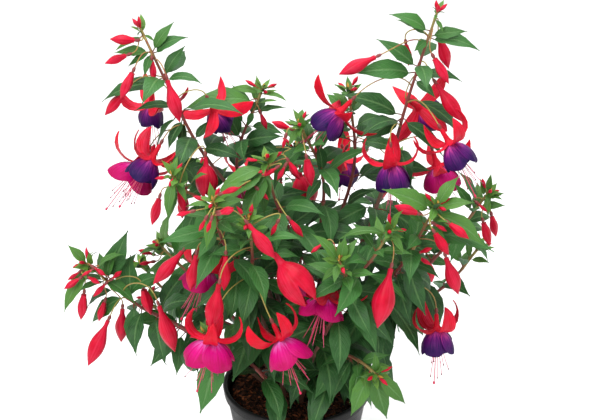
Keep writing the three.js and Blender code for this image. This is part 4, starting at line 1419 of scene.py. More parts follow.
@dataclass
class Crowd:
    """What stands already, so that added leaves keep clear of it."""

    taken: list[tuple[Array, Array, BVHTree]] = field(default_factory=list)
    shown: list[tuple[Array, float]] = field(default_factory=list)
    bare: list[tuple[Array, float]] = field(default_factory=list)

    @staticmethod
    def hides(leaf: Blade, spots: list[tuple[Array, float]]) -> bool:
        """Whether the leaf stands before a spot seen from the front: whether one of three points on
        it is nearer than the spot's radius to the sight line from the eye to the spot.

        Args:
            leaf: The leaf's place.
            spots: Middles and radii of the spots.

        Returns:
            True if it hides one of them.
        """
        eye = vec(Studio.eye) / MM
        points = np.array([leaf.point(part) for part in (0.25, 0.6, 0.95)])
        for spot, radius in spots:
            sight = unit(spot - eye)
            depth = (points - eye) @ sight
            off = np.linalg.norm(points - eye - depth[:, None] * sight, axis=1)
            if np.any((off < radius) & (depth < float(np.linalg.norm(spot - eye)))):
                return True
        return False

    def set_down(self, points: Array, faces: list[list[int]]) -> None:
        """Counts a mesh among what stands."""
        tree = BVHTree.FromPolygons(points.tolist(), faces)
        self.taken.append((points.min(axis=0), points.max(axis=0), tree))

    def admits(self, leaf: Blade) -> bool:
        """Whether a coarse blade, on a grid of seven rows and three columns, touches nothing; it is
        then counted among what stands.

        Args:
            leaf: The leaf's place.

        Returns:
            True if it is clear.
        """
        t = np.linspace(0.16, 1, 7)
        wide = leaf.half * np.sin(math.pi * np.minimum(t, 0.98) ** 0.7)
        centre = np.array([leaf.point(float(part)) for part in t])
        side = unit(np.cross(leaf.along, leaf.face))
        grid = centre[:, None] + side * (wide[:, None] * np.array([-1.0, 0.0, 1.0]))[..., None]
        grid[:, [0, 2]] += leaf.face * (0.16 * wide)[:, None, None]
        row = 3 * np.arange(6)[:, None]
        quads = np.stack([row + [0, 1], row + [1, 2], row + [4, 5], row + [3, 4]], axis=-1).reshape(-1, 4)
        points = grid.reshape(-1, 3)
        tree = BVHTree.FromPolygons(points.tolist(), quads.tolist())
        low, high = points.min(axis=0), points.max(axis=0)
        for other_low, other_high, other in self.taken:
            if np.all(low < other_high) and np.all(other_low < high) and tree.overlap(other):
                return False
        self.taken.append((low, high, tree))
        return True


def choose_axil(axes: list[GrowingAxis], top: Array, reach: float) -> tuple[Array, Array]:
    """Leaf axil that suits a flower: a stalk's length from its top and, if it can be, not below it.
    Each axil misses by 1.7 times what a stalk to it is too long by, or 0.7 times what it is too
    short by, and by 0.6 times what it lacks to 6 mm above the top.

    Args:
        axes: Axes of the stem.
        top: Top of the flower's tube.
        reach: Length of the stalk.

    Returns:
        Point on the wood and the direction of the axis there.
    """
    best = (math.inf, UP, UP)
    for axis in axes:
        for below in range(AXIL_STEP, math.ceil(axis.leafy), AXIL_STEP):
            point, along = axis.at(axis.length - below)
            excess = float(np.linalg.norm(point - top)) - reach
            miss = max(1.7 * excess, -0.7 * excess) + 0.6 * max(0.0, top[2] - point[2] + 6)
            if miss < best[0]:
                best = (miss, axis.path.at(axis.length - below), along)
    return best[1], best[2]


def flower_stalk(axil: tuple[Array, Array], top: Array, axis: Array, chance: float) -> Run:
    """Stalk that arches from an axil to the ovary above a tube: a cubic Bezier curve that leaves the
    stem outwards and arrives in line with the flower, and then the swollen ovary.

    Args:
        axil: Point on the wood and direction there.
        top: Top of the tube.
        axis: Direction of the flower.
        chance: Number that shifts its colour.

    Returns:
        The stalk.
    """
    point, along = axil
    end = top - axis * (OVARY_LENGTH + OVARY_GAP)
    span = float(np.linalg.norm(end - point))
    away = end - point
    away = unit(away - along * away.dot(along))
    rise = unit(0.75 * away + 0.65 * along)
    t = np.linspace(0, 1, 13)[:, None]
    pull, push = point + rise * (0.42 * span), end - axis * (0.42 * span)
    curve = point * (1 - t) ** 3 + 3 * pull * t * (1 - t) ** 2 + 3 * push * t**2 * (1 - t) + end * t**3
    ovary = np.array([0.8, 1.7, 2.8, 4.0, 5.2, 6.6])
    centres = np.concatenate([curve, end + axis * ovary[:, None]])
    radii = np.concatenate([np.full(13, 0.55), [0.9, 1.4, 1.65, 1.6, 1.25, 1.1]])
    radii[0] = 0.8
    age = np.concatenate([np.linspace(0, 0.45, 13), [0.6, 0.7, 0.75, 0.8, 0.9, 1.0]])
    return Run(centres, radii, 8, age=age, chance=chance)


def closed_bud(top: Array, tip: Array, belly: float, large: bool, chance: float) -> Run:
    """Closed bud: a short neck and then a spindle. From the neck to the belly its radius grows by a
    quarter of 1 - cos(pi s) and half of sin(pi s / 2), and from there to the point it shrinks as
    cos(pi s / 2) to the power 1.1, with a ridge on each of its four sepals.

    Args:
        top: Top of the tube.
        tip: Point of the bud.
        belly: Its largest radius.
        large: Whether it has a tube of its own.
        chance: Number that shifts its colour.

    Returns:
        The bud.
    """
    neck, start, widest = (2.1, 0.12, 0.54) if large else (0.55 * belly, 0.06, 0.46)
    rows = 8 if large else 4
    t = np.concatenate([[0.0], np.linspace(start, widest, rows), np.linspace(widest, 0.985, rows + 1)[1:]])
    grown = np.clip((t - start) / (widest - start), 0, 1)
    shrunk = np.clip((t - widest) / (1 - widest), 0, 1)
    eased = 0.25 * (1 - np.cos(math.pi * grown)) + 0.5 * np.sin(math.pi * grown / 2)
    radii = (neck + (belly - neck) * eased) * np.cos(math.pi * shrunk / 2) ** 1.1
    sides = 16 if large else 8
    return Run(top + (tip - top) * t[:, None], radii, sides, 4, 0.07, chance=chance, turn=chance * 6)


@dataclass
class LeafyStem:
    """Wood, leaves, flower stalks, small buds and hanging buds of one stem."""

    name: str
    number: int
    plan: StemPlan
    dress: Wardrobe
    crowd: Crowd
    extra_size: float = 0.9
    stalk_part: float = 0.12
    stalk_reach: float = 27.0
    young_reach: float = 12.0
    large_from: float = 26.0
    leader_airy: float = 95.0
    leader_size: float = 0.42
    tip_width: float = 0.165
    young_bud: float = 1.75

    def __post_init__(self) -> None:
        """Lays out the axes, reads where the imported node's vertices are, and grows wood and buds."""
        x, y = self.plan.at
        main = GrowingAxis([(x, y, FOOT_TOP), *self.plan.points], STEM_FOOT_RADIUS, self.plan.leafy)
        self.axes = [main]
        for shoot in self.plan.shoots:
            start = tuple(main.at(shoot.start)[0])
            self.axes.append(GrowingAxis([start, *shoot.points], SHOOT_FOOT_RADIUS, shoot.leafy))
        self.leader = self.name.endswith("leader")
        self.stood = packed_points(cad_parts[self.name])
        self.leaves: list[Blade] = []
        self.buds = Skin()
        self.stalks = Skin()
        self.wood = Skin()
        main.wood([(x, y, z) for z in FOOT_HEIGHTS]).add_to(self.wood)
        for shoot in self.axes[1:]:
            shoot.wood([]).add_to(self.wood)
        self.crowd.set_down(*self.wood.mesh())
        self.grow_hanging_buds()
        if self.buds.count:
            self.crowd.set_down(*self.buds.mesh())

    def standing_leaf(self, axis: GrowingAxis, keys: Keys, below: float) -> Blade | None:
        """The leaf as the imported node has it: of all ways to set it, the first whose tip is one of
        the node's vertices.

        Args:
            axis: Axis that carries it.
            keys: Numbers of its stem, axis, whorl and turn.
            below: Distance of its whorl below the tip.

        Returns:
            The leaf's place, or None where the node has no leaf there.
        """
        for way in LEAF_TRIES:
            leaf = leaf_place(axis, keys, below, way)
            if np.min(np.linalg.norm(self.stood - leaf.point(1.0), axis=1)) < 0.05:
                return leaf
        return None

    def grow_leaves(self) -> None:
        """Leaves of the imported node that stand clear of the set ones. Each turns its face to the light,
        or keeps it as the node has it where it has no room to turn."""
        left = 0
        for branch, axis in enumerate(self.axes):
            for whorl, below in enumerate(axis.whorls()):
                for turn in (0, 1):
                    leaf = self.standing_leaf(axis, (self.number, branch, whorl, turn), below)
                    if leaf is None or self.crowd.hides(leaf, self.crowd.bare):
                        continue
                    for way in (leaf.lit(), leaf):
                        if self.crowd.admits(way):
                            self.leaves.append(way)
                            break
                    else:
                        left += 1
        log.info("%s: %d leaves give way to set ones", self.name, left)

    def set_leaves(self) -> None:
        """Leaves of the table, each moved along the sight line from the eye until it is clear of what
        stands."""
        eye = vec(Studio.eye) / MM
        for k, (branch, below, x, y, z, wide, bend) in enumerate(SET_LEAVES.get(self.name, [])):
            tip = vec([x, y, z])
            for shift in (0, -7, 7, -14, 14, -21, 21):
                moved = tip + unit(tip - eye) * shift
                axis, chance = self.axes[branch], draw(self.number, k, 21)
                root = axis.path.at(axis.length - below)
                foot = root + (moved - root) * self.stalk_part
                age = min(1.0, max(0.16, (below + 14) / 120))
                leaf = bowed(root, foot, moved, (wide / 100, bend / 10), age, chance)
                if self.crowd.admits(leaf):
                    self.leaves.append(leaf)
                    break
            else:
                log.info("%s: set leaf %d has no room", self.name, k)

    def grow_more_leaves(self) -> None:
        """More leaves: a second pair in each whorl, a quarter turn on, a pair between whorls, and pairs
        lower down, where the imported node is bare. The top of a leader keeps its gaps."""
        for branch, axis in enumerate(self.axes):
            airy = self.leader_airy if branch == 0 and self.leader else 0.0
            places = axis.whorls()
            spots = [(whorl, below, 90.0) for whorl, below in enumerate(places)]
            for whorl, (upper, lower) in enumerate(zip(places, places[1:], strict=False)):
                spots.append((whorl + 40, (upper + lower) / 2, 45.0))
            for whorl, below in enumerate(np.arange(axis.leafy + 6, axis.length - 26, 20)):
                spots.append((whorl + 60, float(below), 0.0))
            for whorl, below, quarter in spots:
                if below < airy:
                    continue
                for turn in (0, 1):
                    keys = (self.number, branch, whorl, turn)
                    for extra, droop, size in LEAF_TRIES:
                        way = (extra + quarter, droop, size * self.extra_size)
                        leaf = leaf_place(axis, keys, below, way).lit()
                        hidden = self.crowd.hides(leaf, self.crowd.shown + self.crowd.bare)
                        if not hidden and self.crowd.admits(leaf):
                            self.leaves.append(leaf)
                            break

    def grow_tips(self) -> None:
        """Each tip: three pairs of young leaves, each pair a quarter turn on from the last, shorter and
        more upright, and three young buds on stalks. A leader's tip is slimmer than the others."""
        for branch, axis in enumerate(self.axes):
            tip, along = axis.path.at(axis.length), axis.at(axis.length)[1]
            slim = branch == 0 and self.leader
            for pair, (below, size, pitch, age) in enumerate(TIP_PAIRS):
                for turn in (0, 1):
                    keys = (self.number, branch, 90 + pair, turn)
                    angle = math.radians(45 + 90 * pair + 180 * turn + between(-16, 16, *keys, 1))
                    tilt = math.radians(pitch + between(-10, 10, *keys, 2))
                    heading = unit(round_about(along, angle) * math.sin(tilt) + along * math.cos(tilt))
                    face = unit(np.cross(np.cross(heading, along), heading))
                    length = size * (self.leader_size if slim else 1.0) * between(0.82, 1.14, *keys, 3)
                    root, wide = tip - along * below, length * self.tip_width
                    foot, chance = root + heading * 1.6, draw(*keys, 4)
                    self.leaves.append(Blade(root, foot, heading, face, length, 0.95, wide, age, chance))
            for k in range(3):
                keys = (self.number, branch, 110 + k, 0)
                angle = math.radians(120 * k + between(-30, 30, *keys, 1))
                tilt = math.radians(between(14, 40, *keys, 2) if slim else between(34, 84, *keys, 2))
                heading = unit(round_about(along, angle) * math.sin(tilt) + along * math.cos(tilt))
                start = tip + heading * (2.5 if slim else between(4, 8, *keys, 3)) - along
                end = start + heading * between(8.5, 11.5, *keys, 4)
                Run(np.linspace(tip - along, start, 4), [0.45] * 4, 6, chance=0.8).add_to(self.stalks)
                closed_bud(start, end, self.young_bud, False, draw(*keys, 5)).add_to(self.buds)

    def grow_hanging_buds(self) -> None:
        """Hanging buds that are grown in one with the stem, and the young ones, each on its stalk."""
        for k, (start, end) in enumerate(BUDS.get(self.name, [])):
            self.hang_bud(vec(start), vec(end), k, self.stalk_reach)
        for k, (start, end) in enumerate(YOUNG_BUDS.get(self.name, [])):
            self.hang_bud(vec(start), vec(end), k + 20, self.young_reach)

    def hang_bud(self, top: Array, tip: Array, k: int, reach: float) -> None:
        """Stalk and bud of one hanging bud.

        Args:
            top: Top of its tube.
            tip: Its point.
            k: Its number.
            reach: Length of its stalk.
        """
        chance = draw(self.number, k, 31)
        length = float(np.linalg.norm(tip - top))
        large = length > 28
        self.hang_stalk(top, unit(tip - top), chance, reach)
        belly = (0.165 if large else 0.19) * length
        closed_bud(top, tip, belly, large, chance).add_to(self.buds)

    def hang_stalk(self, top: Array, axis: Array, chance: float, reach: float) -> None:
        """Stalk of about the length given, from the best axil to the top of a flower's tube."""
        flower_stalk(choose_axil(self.axes, top, reach), top, axis, chance).add_to(self.stalks)

    def build(self) -> None:
        """Makes the pieces of the stem."""
        leaves = Skin()
        large = [leaf for leaf in self.leaves if leaf.length > self.large_from]
        small = [leaf for leaf in self.leaves if leaf.length <= self.large_from]
        log.info("%s: %d large and %d small leaves", self.name, len(large), len(small))
        add_blades(leaves, LARGE_LEAF, large)
        add_blades(leaves, SMALL_LEAF, small)
        stand_for(leaves.make(f"{self.name}_leaves", self.dress.leaf), self.name)
        stand_for(self.wood.make(f"{self.name}_wood", self.dress.bark), self.name)
        stand_for(self.stalks.make(f"{self.name}_stalks", self.dress.stalk), self.name)
        stand_for(self.buds.make(f"{self.name}_buds", self.dress.bud), self.name)


# Flowers

SEPAL_ROWS = (0.0, 0.06, 0.14, 0.24, 0.35, 0.47, 0.6, 0.72, 0.83, 0.92, 0.97)
SEPAL_WIDTHS = (3.4, 3.9, 4.7, 5.6, 6.3, 6.5, 6.1, 5.1, 3.6, 1.9, 0.9)
SEPAL = BladeForm(
    SEPAL_ROWS, SEPAL_WIDTHS, ellipse(12), thick=0.45, rib=0.35, fold=0.14, arch=0.06, wave=0.05,
    twist=1.2)
SHUT_WIDTHS = (3.0, 4.2, 5.9, 7.4, 8.3, 8.5, 7.9, 6.5, 4.6, 2.4, 1.0)
SHUT_SEPAL = BladeForm(
    SEPAL_ROWS, SHUT_WIDTHS, ellipse(12), thick=0.45, rib=0.2, fold=0.0, arch=0.0, cup=0.38, wave=0.02)


@dataclass
class OpenBloom:
    """Open bloom: waxy calyx, ring of petals, stamens and style."""

    name: str
    plan: BloomPlan
    dress: Wardrobe
    sepal_length: float = 40.0
    sepal_opening: float = 62.0
    petal_count: int = 4
    outer_spread: float = 58.0
    inner_spread: float = 50.0
    widest: float = 0.42
    collar: float = 3.7
    start: float = 14.6

    def __post_init__(self) -> None:
        """Reads the plan: where the bloom hangs, its curl and its turn."""
        self.curl, self.turn = math.radians(self.plan.curl), math.radians(self.plan.turn)
        self.axis = unit(vec(self.plan.heart) - vec(self.plan.cup))
        self.top = vec(self.plan.cup) - self.axis * CUP_SHOULDER
        self.number = int(self.name[-2:])
        self.first, self.second = square_to(self.axis)

    def down(self, distance: Any) -> Array:
        """Point on the axis at a distance below the top, or many."""
        return self.top + self.axis * np.asarray(distance, float)[..., None]

    def out(self, angle: Any) -> Array:
        """Direction away from the axis at an angle, or many."""
        angle = np.asarray(angle, float)[..., None]
        return self.first * np.cos(angle) + self.second * np.sin(angle)

    def add_calyx(self, skin: Skin) -> None:
        """Tube and cup, and the four sepals that curl back from it.

        Args:
            skin: Skin that takes them.
        """
        depths = np.array([0, 1.2, 3, 6, 9, 11, 12.6, 13.8, 14.8, 15.4])
        radii = [1.5, 1.9, 2.1, 2.15, 2.4, 2.9, 3.7, 4.3, 4.2, 3.2]
        Run(self.down(depths), radii, 16, 4, 0.05, chance=0.4, turn=self.turn).add_to(skin)
        sepals = []
        for k in range(4):
            angle = self.turn + FULL_TURN * k / 4
            out = self.out(angle)
            opening = math.radians(self.sepal_opening + between(-4, 4, self.number, k, 41))
            along = out * math.sin(opening) + self.axis * math.cos(opening)
            face = self.axis * math.sin(opening) - out * math.cos(opening)
            foot = self.down(CUP_END - 2.4) + out * 1.6
            curl = self.curl * between(0.8, 1.0, self.number, k, 42)
            sepals.append(Blade(
                foot, foot, along, face, self.sepal_length, curl, 1.0, 0.5, draw(self.number, k, 43)))
        add_blades(skin, SEPAL, sepals)

    def add_petals(self, skin: Skin) -> None:
        """Overlapping petals, each a round lobe on a dome. At a part s of the turn p down the dome, the
        radius is collar + flare sin(p s), and the depth is start + drop times the mean of s and
        (1 - cos(p s)) / (1 - cos p). The spread grows from the foot and closes as a circle, one edge
        lies over and the other under its neighbours, and the hem ruffles in and out.

        Args:
            skin: Skin that takes them.
        """
        flare, drop, dome, _ = self.plan.form.value
        flare, drop = flare * self.plan.gathered, drop * self.plan.drawn
        t = np.array([0.0, 0.1, 0.22, 0.34, 0.46, 0.58, 0.69, 0.79, 0.87, 0.935, 0.98])
        lobe = np.where(
            t < self.widest, 0.7 + 0.3 * np.sin(math.pi / 2 * t / self.widest),
            np.sqrt(1 - (np.maximum(0, t - self.widest) / (1.005 - self.widest)) ** 2))[:, None]
        x, y = ellipse(20)
        layers = [(k, 0.0, 1.0, self.outer_spread) for k in range(self.petal_count)]
        layers += [(k + 0.5, -1.2, 0.8, self.inner_spread) for k in range(self.petal_count)]
        for number, (k, inset, reach, spread) in enumerate(layers):
            chance = draw(self.number, number, 51)
            sway = between(-0.1, 0.1, self.number, number, 52)
            centre = self.turn + FULL_TURN * (k + 0.5) / self.petal_count + sway
            size = reach * between(0.92, 1.08, self.number, number, 53)
            angle = centre + math.radians(spread) * lobe * x
            s = np.append(t, 1.0)[:, None] * size
            swell = self.collar + inset * np.minimum(1, 3 * s) + flare * np.sin(dome * s)
            depth = self.start + drop * 0.5 * (s + (1 - np.cos(dome * s)) / (1 - math.cos(dome)))
            slope_out = np.gradient(swell[:, 0])[:-1, None]
            slope_down = np.gradient(depth[:, 0])[:-1, None]
            steep = np.hypot(slope_out, slope_down)
            ruffle = 1.1 * s[:-1] ** 2 * np.sin(2.4 * math.pi * x * lobe + FULL_TURN * chance)
            overlap = 0.8 * x * lobe * np.minimum(1, 4 * t)[:, None]
            thick = 0.22 * y
            radius = swell[:-1] + ruffle + overlap + thick * slope_down / steep
            middle = self.down(np.broadcast_to(depth[:-1], radius.shape))
            rings = (middle + self.out(angle) * radius[..., None]
                     - self.axis * (thick * slope_out / steep)[..., None])
            end = self.down(depth[-1, 0]) + self.out(centre) * swell[-1, 0]
            traits = same_traits((1, *radius.shape), 0.5, chance, y)
            start = rings[0].mean(axis=0)
            skin.add_tubes(rings[None], start[None], end[None], 0.5 + 0.5 * x, t, traits)

    def add_stamens(self, skin: Skin) -> None:
        """Eight stamens with anthers and the longer style with its stigma. Each leaves the tube near
        its axis and moves aside with the power 1.5 of the way down.

        Args:
            skin: Skin that takes them.
        """
        for k in range(9):
            style = k == 8
            angle = self.turn + FULL_TURN * k / 8 + between(-0.25, 0.25, self.number, k, 61)
            reach = 63.0 if style else between(44, 58, self.number, k, 62)
            spread = 5.0 if style else between(4.0, self.plan.form.value[3], self.number, k, 63)
            t = np.linspace(0, 1, 6)
            aside = self.out(angle) * (1.0 + (spread - 1) * t**1.5)[:, None]
            centres = self.down(13 + (reach - 13) * t) + aside
            radius = 0.42 if style else 0.28
            Run(centres, np.full(6, radius), 5, age=0.0, chance=0.5).add_to(skin)
            run = unit(centres[-1] - centres[-2])
            length = 3.0 if style else 1.9
            t = np.array([0.0, 0.25, 0.65, 0.92])
            sizes = (1.1 if style else 0.6) * np.array([0.5, 0.95, 1.0, 0.55])
            head = centres[-1] + run * (length * t)[:, None]
            Run(head, sizes, 6, age=0.7 if style else 1.0, chance=0.5).add_to(skin)

    def build(self) -> None:
        """Makes the pieces of the bloom."""
        calyx, petals, stamens = Skin(), Skin(), Skin()
        self.add_calyx(calyx)
        self.add_petals(petals)
        self.add_stamens(stamens)
        violet = self.plan.form is Form.BELL
        corolla = self.dress.violet if violet else self.dress.magenta
        stand_for(calyx.make(f"{self.name}_sepals", self.dress.sepal), f"{self.name}_calyx")
        stand_for(stamens.make(f"{self.name}_stamens", self.dress.stamen), f"{self.name}_calyx")
        stand_for(petals.make(f"{self.name}_petals", corolla, 50.0), f"{self.name}_corolla")


@dataclass
class ClosedBloom:
    """Half-open bloom or large bud in a node of its own."""

    name: str
    plan: ClosedPlan
    dress: Wardrobe
    opening: float = 52.0
    full_length: float = 40.0

    def build(self) -> None:
        """Makes the bud, or the bloom whose seams have opened."""
        top, tip, swell = vec(self.plan.top), vec(self.plan.tip), self.plan.swell
        length = float(np.linalg.norm(tip - top))
        number = int(self.name[-2:])
        skin = Skin()
        if self.name.startswith("bud"):
            closed_bud(top, tip, (swell + 0.03) * length, True, draw(number, 71)).add_to(skin)
        else:
            self.add_balloon(skin, top, tip, number)
            petals = Skin()
            first, last = top + 0.3 * (tip - top), top + 0.9 * (tip - top)
            closed_bud(first, last, 0.62 * swell * length, True, 0.3).add_to(petals)
            stand_for(petals.make(f"{self.name}_petals", self.dress.magenta), self.name)
        stand_for(skin.make(f"{self.name}_shut", self.dress.bud), self.name)

    def add_balloon(self, skin: Skin, top: Array, tip: Array, number: int) -> None:
        """Tube and the four sepals, which bow out from it and meet again at the point: each starts at
        the opening angle from the axis and bends by twice that angle.

        Args:
            skin: Skin that takes them.
            top: Top of the tube.
            tip: Point of the bloom.
            number: Number of the bloom.
        """
        length = float(np.linalg.norm(tip - top))
        size = length / self.full_length
        axis = unit(tip - top)
        depths = length * np.array([0.0, 0.05, 0.12, 0.18, 0.24, 0.3])
        Run(top + axis * depths[:, None], size * np.array([1.6, 2.0, 2.2, 2.6, 3.6, 3.2]), 16).add_to(skin)
        opening = math.radians(self.opening)
        sepals = []
        for k in range(4):
            out = round_about(axis, FULL_TURN * (k / 4 + draw(number, 72)))
            swing = opening * between(0.9, 1.12, number, k, 73)
            along = out * math.sin(swing) + axis * math.cos(swing)
            face = out * math.cos(swing) - axis * math.sin(swing)
            foot = top + axis * (0.2 * length) + out * (1.6 * size)
            chance = draw(number, k, 74)
            sepals.append(Blade(foot, foot, along, face, 0.95 * length, 1.96 * opening, size, 0.5, chance))
        add_blades(skin, SHUT_SEPAL, sepals)


# Pot and compost


@dataclass
class NurseryPot:
    """Tapered pot with a rim band, thin wall, flat floor and drain holes."""

    dress: Wardrobe
    height: float = 120.0
    rim: float = 70.0
    wall_top: float = 66.5
    base: float = 48.0
    wall: float = 1.8
    floor: float = 2.4
    band: float = 10.0
    lip: float = 4.6
    bead: float = 2.3
    sides: int = 120
    drain_holes: int = 6
    drain_radius: float = 4.5
    drain_circle: float = 33.0

    def profile(self) -> Array:
        """Radius and height of the outline, from the middle of the base out, up, over the rounded
        rim and down inside to the middle of the floor.

        Returns:
            The points.
        """
        x, z = self.rim - self.bead, self.height - self.bead
        turns = np.linspace(0, math.pi, 9)
        bead = [(x + self.bead * math.cos(turn), z + self.bead * math.sin(turn)) for turn in turns]
        outer_top = self.height - self.band
        return np.array([
            (0.6, 0.6), (26, 0.6), (40, 0.0),
            (self.base - 1.5, 0.0), (self.base - 0.4, 0.4), (self.base, 1.5),
            (self.wall_top - 0.15, outer_top - 0.8), (self.wall_top + 0.2, outer_top),
            (self.rim - 1.6, outer_top), (self.rim - 1.0, outer_top + 0.6), *bead,
            (self.rim - self.lip, outer_top), (self.base - self.wall, self.floor + 1.2),
            (self.base - self.wall - 1.2, self.floor), (0.6, self.floor),
        ])

    def build(self) -> None:
        """Makes the pot: the profile turned about Z, with the drain holes cut through its floor."""
        profile = self.profile()
        angle = FULL_TURN * np.arange(self.sides) / self.sides
        rings = np.stack([
            profile[:, None, 0] * np.cos(angle), profile[:, None, 0] * np.sin(angle),
            np.broadcast_to(profile[:, None, 1], (len(profile), self.sides))], axis=-1)
        skin = Skin()
        traits = same_traits((1, *rings.shape[:2]), 0.5, 0.5, 0.5)
        start, end = vec([[0, 0, profile[0, 1]]]), vec([[0, 0, profile[-1, 1]]])
        around = np.arange(self.sides) / self.sides
        skin.add_tubes(rings[None], start, end, around, np.linspace(0, 1, len(profile)), traits)
        pot = skin.make("pot_body", self.dress.pot, 35.0)
        cutter = self.hole_cutter()
        cut = pot.modifiers.new("holes", "BOOLEAN")
        cut.object, cut.operation, cut.solver = cutter, "DIFFERENCE", "EXACT"
        bpy.context.view_layer.update()
        pot.data = bpy.data.meshes.new_from_object(pot.evaluated_get(bpy.context.evaluated_depsgraph_get()))
        pot.modifiers.clear()
        bpy.data.objects.remove(cutter)
        stand_for(pot, "pot")

    def hole_cutter(self) -> Piece:
        """Round pegs where the drain holes are.

        Returns:
            The pegs as one object.
        """
        skin = Skin()
        for k in range(self.drain_holes):
            angle = FULL_TURN * k / self.drain_holes
            x, y = self.drain_circle * math.cos(angle), self.drain_circle * math.sin(angle)
            centres = vec([[x, y, -4], [x, y, 0], [x, y, 8]])
            Run(centres, [self.drain_radius] * 3, 24).add_to(skin)
        return skin.make("hole_pegs", self.dress.pot)


@dataclass
class CompostBed:
    """Bark compost: an uneven bed and the chips that lie on it."""

    dress: Wardrobe
    top: float = 110.6
    edge: float = 63.0
    chips: int = 1100
    seed: int = 7

    def surface(self, x: Array, y: Array) -> Array:
        """Height of the bed: a few crossing waves of a millimetre, and a fall of 3 mm at the wall.

        Args:
            x: Places from left to right.
            y: Places from front to back.

        Returns:
            A height for each place.
        """
        radius = np.hypot(x, y)
        waves = 0.8 * np.sin(x * 0.21 + 1.3) * np.cos(y * 0.17) + 0.5 * np.sin(x * 0.53 - y * 0.47)
        return self.top + waves - 3.0 * np.clip((radius - 52) / 11, 0, 1) ** 2

    def build(self) -> None:
        """Makes the bed and its chips."""
        self.make_bed()
        self.make_chips()

    def make_bed(self) -> None:
        """Bed: a closed turned body whose top rows follow the uneven surface."""
        sides = 72
        rng = np.random.default_rng(self.seed)
        angle = FULL_TURN * np.arange(sides) / sides
        radii = np.array([1.0, 20, 45.4, 45.7, 54, 62.2, 62.6, 59, 54, 48, 41, 34, 27, 20, 13, 6.5, 1.5])
        fixed = np.array([2.8, 2.8, 2.8, 4, 55, 103.0])
        x, y = radii[:, None] * np.cos(angle), radii[:, None] * np.sin(angle)
        z = self.surface(x, y) + rng.uniform(-0.6, 0.6, x.shape) * (radii > 3)[:, None]
        z[: len(fixed)] = fixed[:, None]
        rings = np.stack([x, y, z], axis=-1)
        traits = same_traits((1, *x.shape), 0.4, 0.4, 0.4)
        start, end = vec([[0, 0, fixed[0]]]), rings[-1].mean(axis=0)[None]
        around, flow = np.arange(sides) / sides, np.linspace(0, 1, len(radii))
        skin = Skin()
        skin.add_tubes(rings[None], start, end, around, flow, traits)
        stand_for(skin.make("compost_bed", self.dress.compost, 80.0), "soil")

    def make_chips(self) -> None:
        """Chips: flat six-sided slivers laid at random on the surface, each tilted its own way."""
        rng = np.random.default_rng(self.seed + 1)
        n = self.chips
        radius = 60 * np.sqrt(rng.uniform(0.0, 1.0, n))
        angle = rng.uniform(0, FULL_TURN, n)
        x, y = radius * np.cos(angle), radius * np.sin(angle)
        length, width = rng.uniform(2.2, 7.0, n), rng.uniform(1.2, 3.4, n)
        length = np.minimum(length, 2 * (63.5 - radius) + 2)
        thick = rng.uniform(0.6, 1.8, n)
        turn, tilt = rng.uniform(0, FULL_TURN, n), rng.normal(0, 0.4, n)
        along = np.stack([np.cos(turn) * np.cos(tilt), np.sin(turn) * np.cos(tilt), np.sin(tilt)], axis=-1)
        side = unit(np.cross(UP, along) + rng.normal(0, 0.25, (n, 3)))
        side = unit(side - along * np.sum(side * along, axis=-1, keepdims=True))
        up = np.cross(along, side)
        centre = np.stack([x, y, self.surface(x, y) + rng.uniform(0.2, 2.2, n)], axis=-1)
        t = np.array([-0.46, 0.0, 0.45])
        spin = FULL_TURN * np.arange(6) / 6
        rough = rng.uniform(0.72, 1.15, (n, 3, 6))
        taper = np.array([0.62, 1.0, 0.7])[:, None]
        u, v = rough * taper * np.cos(spin), rough * taper * np.sin(spin)
        lengthwise = (length[:, None, None] * t[:, None] * rough)[..., None]
        rings = (centre[:, None, None] + along[:, None, None] * lengthwise
                 + side[:, None, None] * (u * width[:, None, None] / 2)[..., None]
                 + up[:, None, None] * (v * thick[:, None, None] / 2)[..., None])
        start = rings[:, 0].mean(axis=1) - along * (0.05 * length)[:, None]
        end = rings[:, -1].mean(axis=1) + along * (0.05 * length)[:, None]
        traits = same_traits(rough.shape, 0.0, (rng.uniform(0, 1, n) ** 2.2)[:, None, None], 0.0)
        skin = Skin()
        skin.add_tubes(rings, start, end, spin / FULL_TURN, t + 0.5, traits)
        stand_for(skin.make("bark_chips", self.dress.chip, 25.0), "soil")


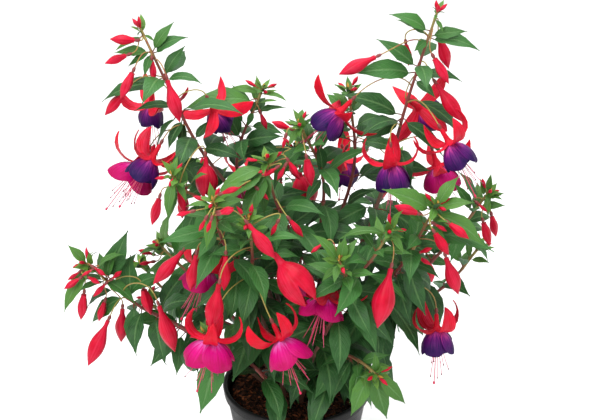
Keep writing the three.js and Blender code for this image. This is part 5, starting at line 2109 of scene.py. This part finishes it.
@dataclass
class Studio:
    """Pale floor, soft light and the camera at the photograph's viewing angle."""

    eye: Point = (0.003, -1.3365, 0.983)
    target: Point = (0.003, 0.0, 0.302)
    lens: float = 100.2
    floor_half: float = 30.0
    floor_drop: float = 0.0005
    squares: int = 8
    sky: float = 0.74

    def build(self) -> None:
        """Makes the floor, the lights and the camera."""
        self.make_floor()
        self.make_light("key_light", (-0.9, -1.3, 1.6), 1.1, 31.0)
        self.make_light("fill_light", (1.4, -0.9, 1.1), 1.6, 8.0)
        self.make_light("top_light", (0.1, 0.3, 1.9), 1.2, 28.0)
        world = bpy.data.worlds.new("studio_white")
        world.use_nodes = True
        background = world.node_tree.nodes["Background"]
        background.inputs["Color"].default_value = (1.0, 1.0, 1.0, 1.0)
        background.inputs["Strength"].default_value = self.sky
        bpy.context.scene.world = world
        bpy.context.scene.view_settings.view_transform = "Standard"
        self.make_camera()

    def make_floor(self) -> None:
        """Flat floor on a grid of squares, just below the pot's base."""
        row = self.squares + 1
        steps = np.linspace(-self.floor_half, self.floor_half, row)
        x, y = np.meshgrid(steps, steps)
        points = np.stack([x.ravel(), y.ravel(), np.full(row * row, -self.floor_drop)], axis=-1)
        corner = (row * np.arange(self.squares)[:, None] + np.arange(self.squares)).ravel()
        faces = np.stack([corner, corner + 1, corner + row + 1, corner + row], axis=-1)
        mesh = bpy.data.meshes.new("studio_floor")
        mesh.from_pydata(points.tolist(), [], faces.tolist())
        mesh.materials.append(FloorFinish().material())
        floor = bpy.data.objects.new("studio_floor", mesh)
        bpy.context.scene.collection.objects.link(floor)

    def make_light(self, name: str, place: Point, size: float, power: float) -> None:
        """Square area light that faces the plant.

        Args:
            name: Its name.
            place: Where it stands.
            size: Length of its side.
            power: Its power in watts.
        """
        data = bpy.data.lights.new(name, "AREA")
        data.size, data.energy = size, power
        light = bpy.data.objects.new(name, data)
        self.aim(light, place)

    def make_camera(self) -> None:
        """Camera of the photograph."""
        data = bpy.data.cameras.new("photo_camera")
        data.lens = self.lens
        camera = bpy.data.objects.new("photo_camera", data)
        self.aim(camera, self.eye)
        bpy.context.scene.camera = camera

    def aim(self, item: Piece, place: Point) -> None:
        """Stands a light or the camera in its place and turns it to the plant.

        Args:
            item: The light or the camera.
            place: Where it stands.
        """
        item.location = place
        item.rotation_euler = (Vector(self.target) - Vector(place)).to_track_quat("-Z", "Y").to_euler()
        bpy.context.scene.collection.objects.link(item)


def note_size() -> None:
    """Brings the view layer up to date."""
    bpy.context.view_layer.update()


def main() -> None:
    """Builds the studio and every sub-assembly in order."""
    logging.basicConfig(level=logging.INFO, format="%(name)s %(message)s")
    Studio().build()
    dress = Wardrobe()
    NurseryPot(dress).build()
    CompostBed(dress).build()
    crowd = Crowd()
    for name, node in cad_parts.items():
        if name not in STEMS:
            crowd.set_down(packed_points(node), [list(face.vertices) for face in node.data.polygons])
    crowd.shown = [(vec(plan.heart), CLEAR_BLOOM) for plan in BLOOMS.values()]
    crowd.shown += [((vec(plan.top) + vec(plan.tip)) / 2, CLEAR_CLOSED) for plan in CLOSED.values()]
    crowd.shown += [((vec(top) + vec(tip)) / 2, CLEAR_BUD) for buds in BUDS.values() for top, tip in buds]
    crowd.bare = [(vec(spot), radius) for spot, radius in BARE_SPOTS]
    stems = {name: LeafyStem(name, i, plan, dress, crowd) for i, (name, plan) in enumerate(STEMS.items())}
    for stem in stems.values():
        stem.set_leaves()
    for stem in stems.values():
        stem.grow_leaves()
    for stem in stems.values():
        stem.grow_more_leaves()
        stem.grow_tips()
    for name, plan in BLOOMS.items():
        bloom = OpenBloom(name, plan, dress)
        stems[plan.stem].hang_stalk(bloom.top, bloom.axis, draw(bloom.number, 81), LeafyStem.stalk_reach)
        bloom.build()
    for name, plan in CLOSED.items():
        top, tip = vec(plan.top), vec(plan.tip)
        stems[plan.stem].hang_stalk(top, unit(tip - top), draw(int(name[-2:]), 82), LeafyStem.stalk_reach)
        ClosedBloom(name, plan, dress).build()
    for stem in stems.values():
        stem.build()
    note_size()


if __name__ == "__main__":
    main()
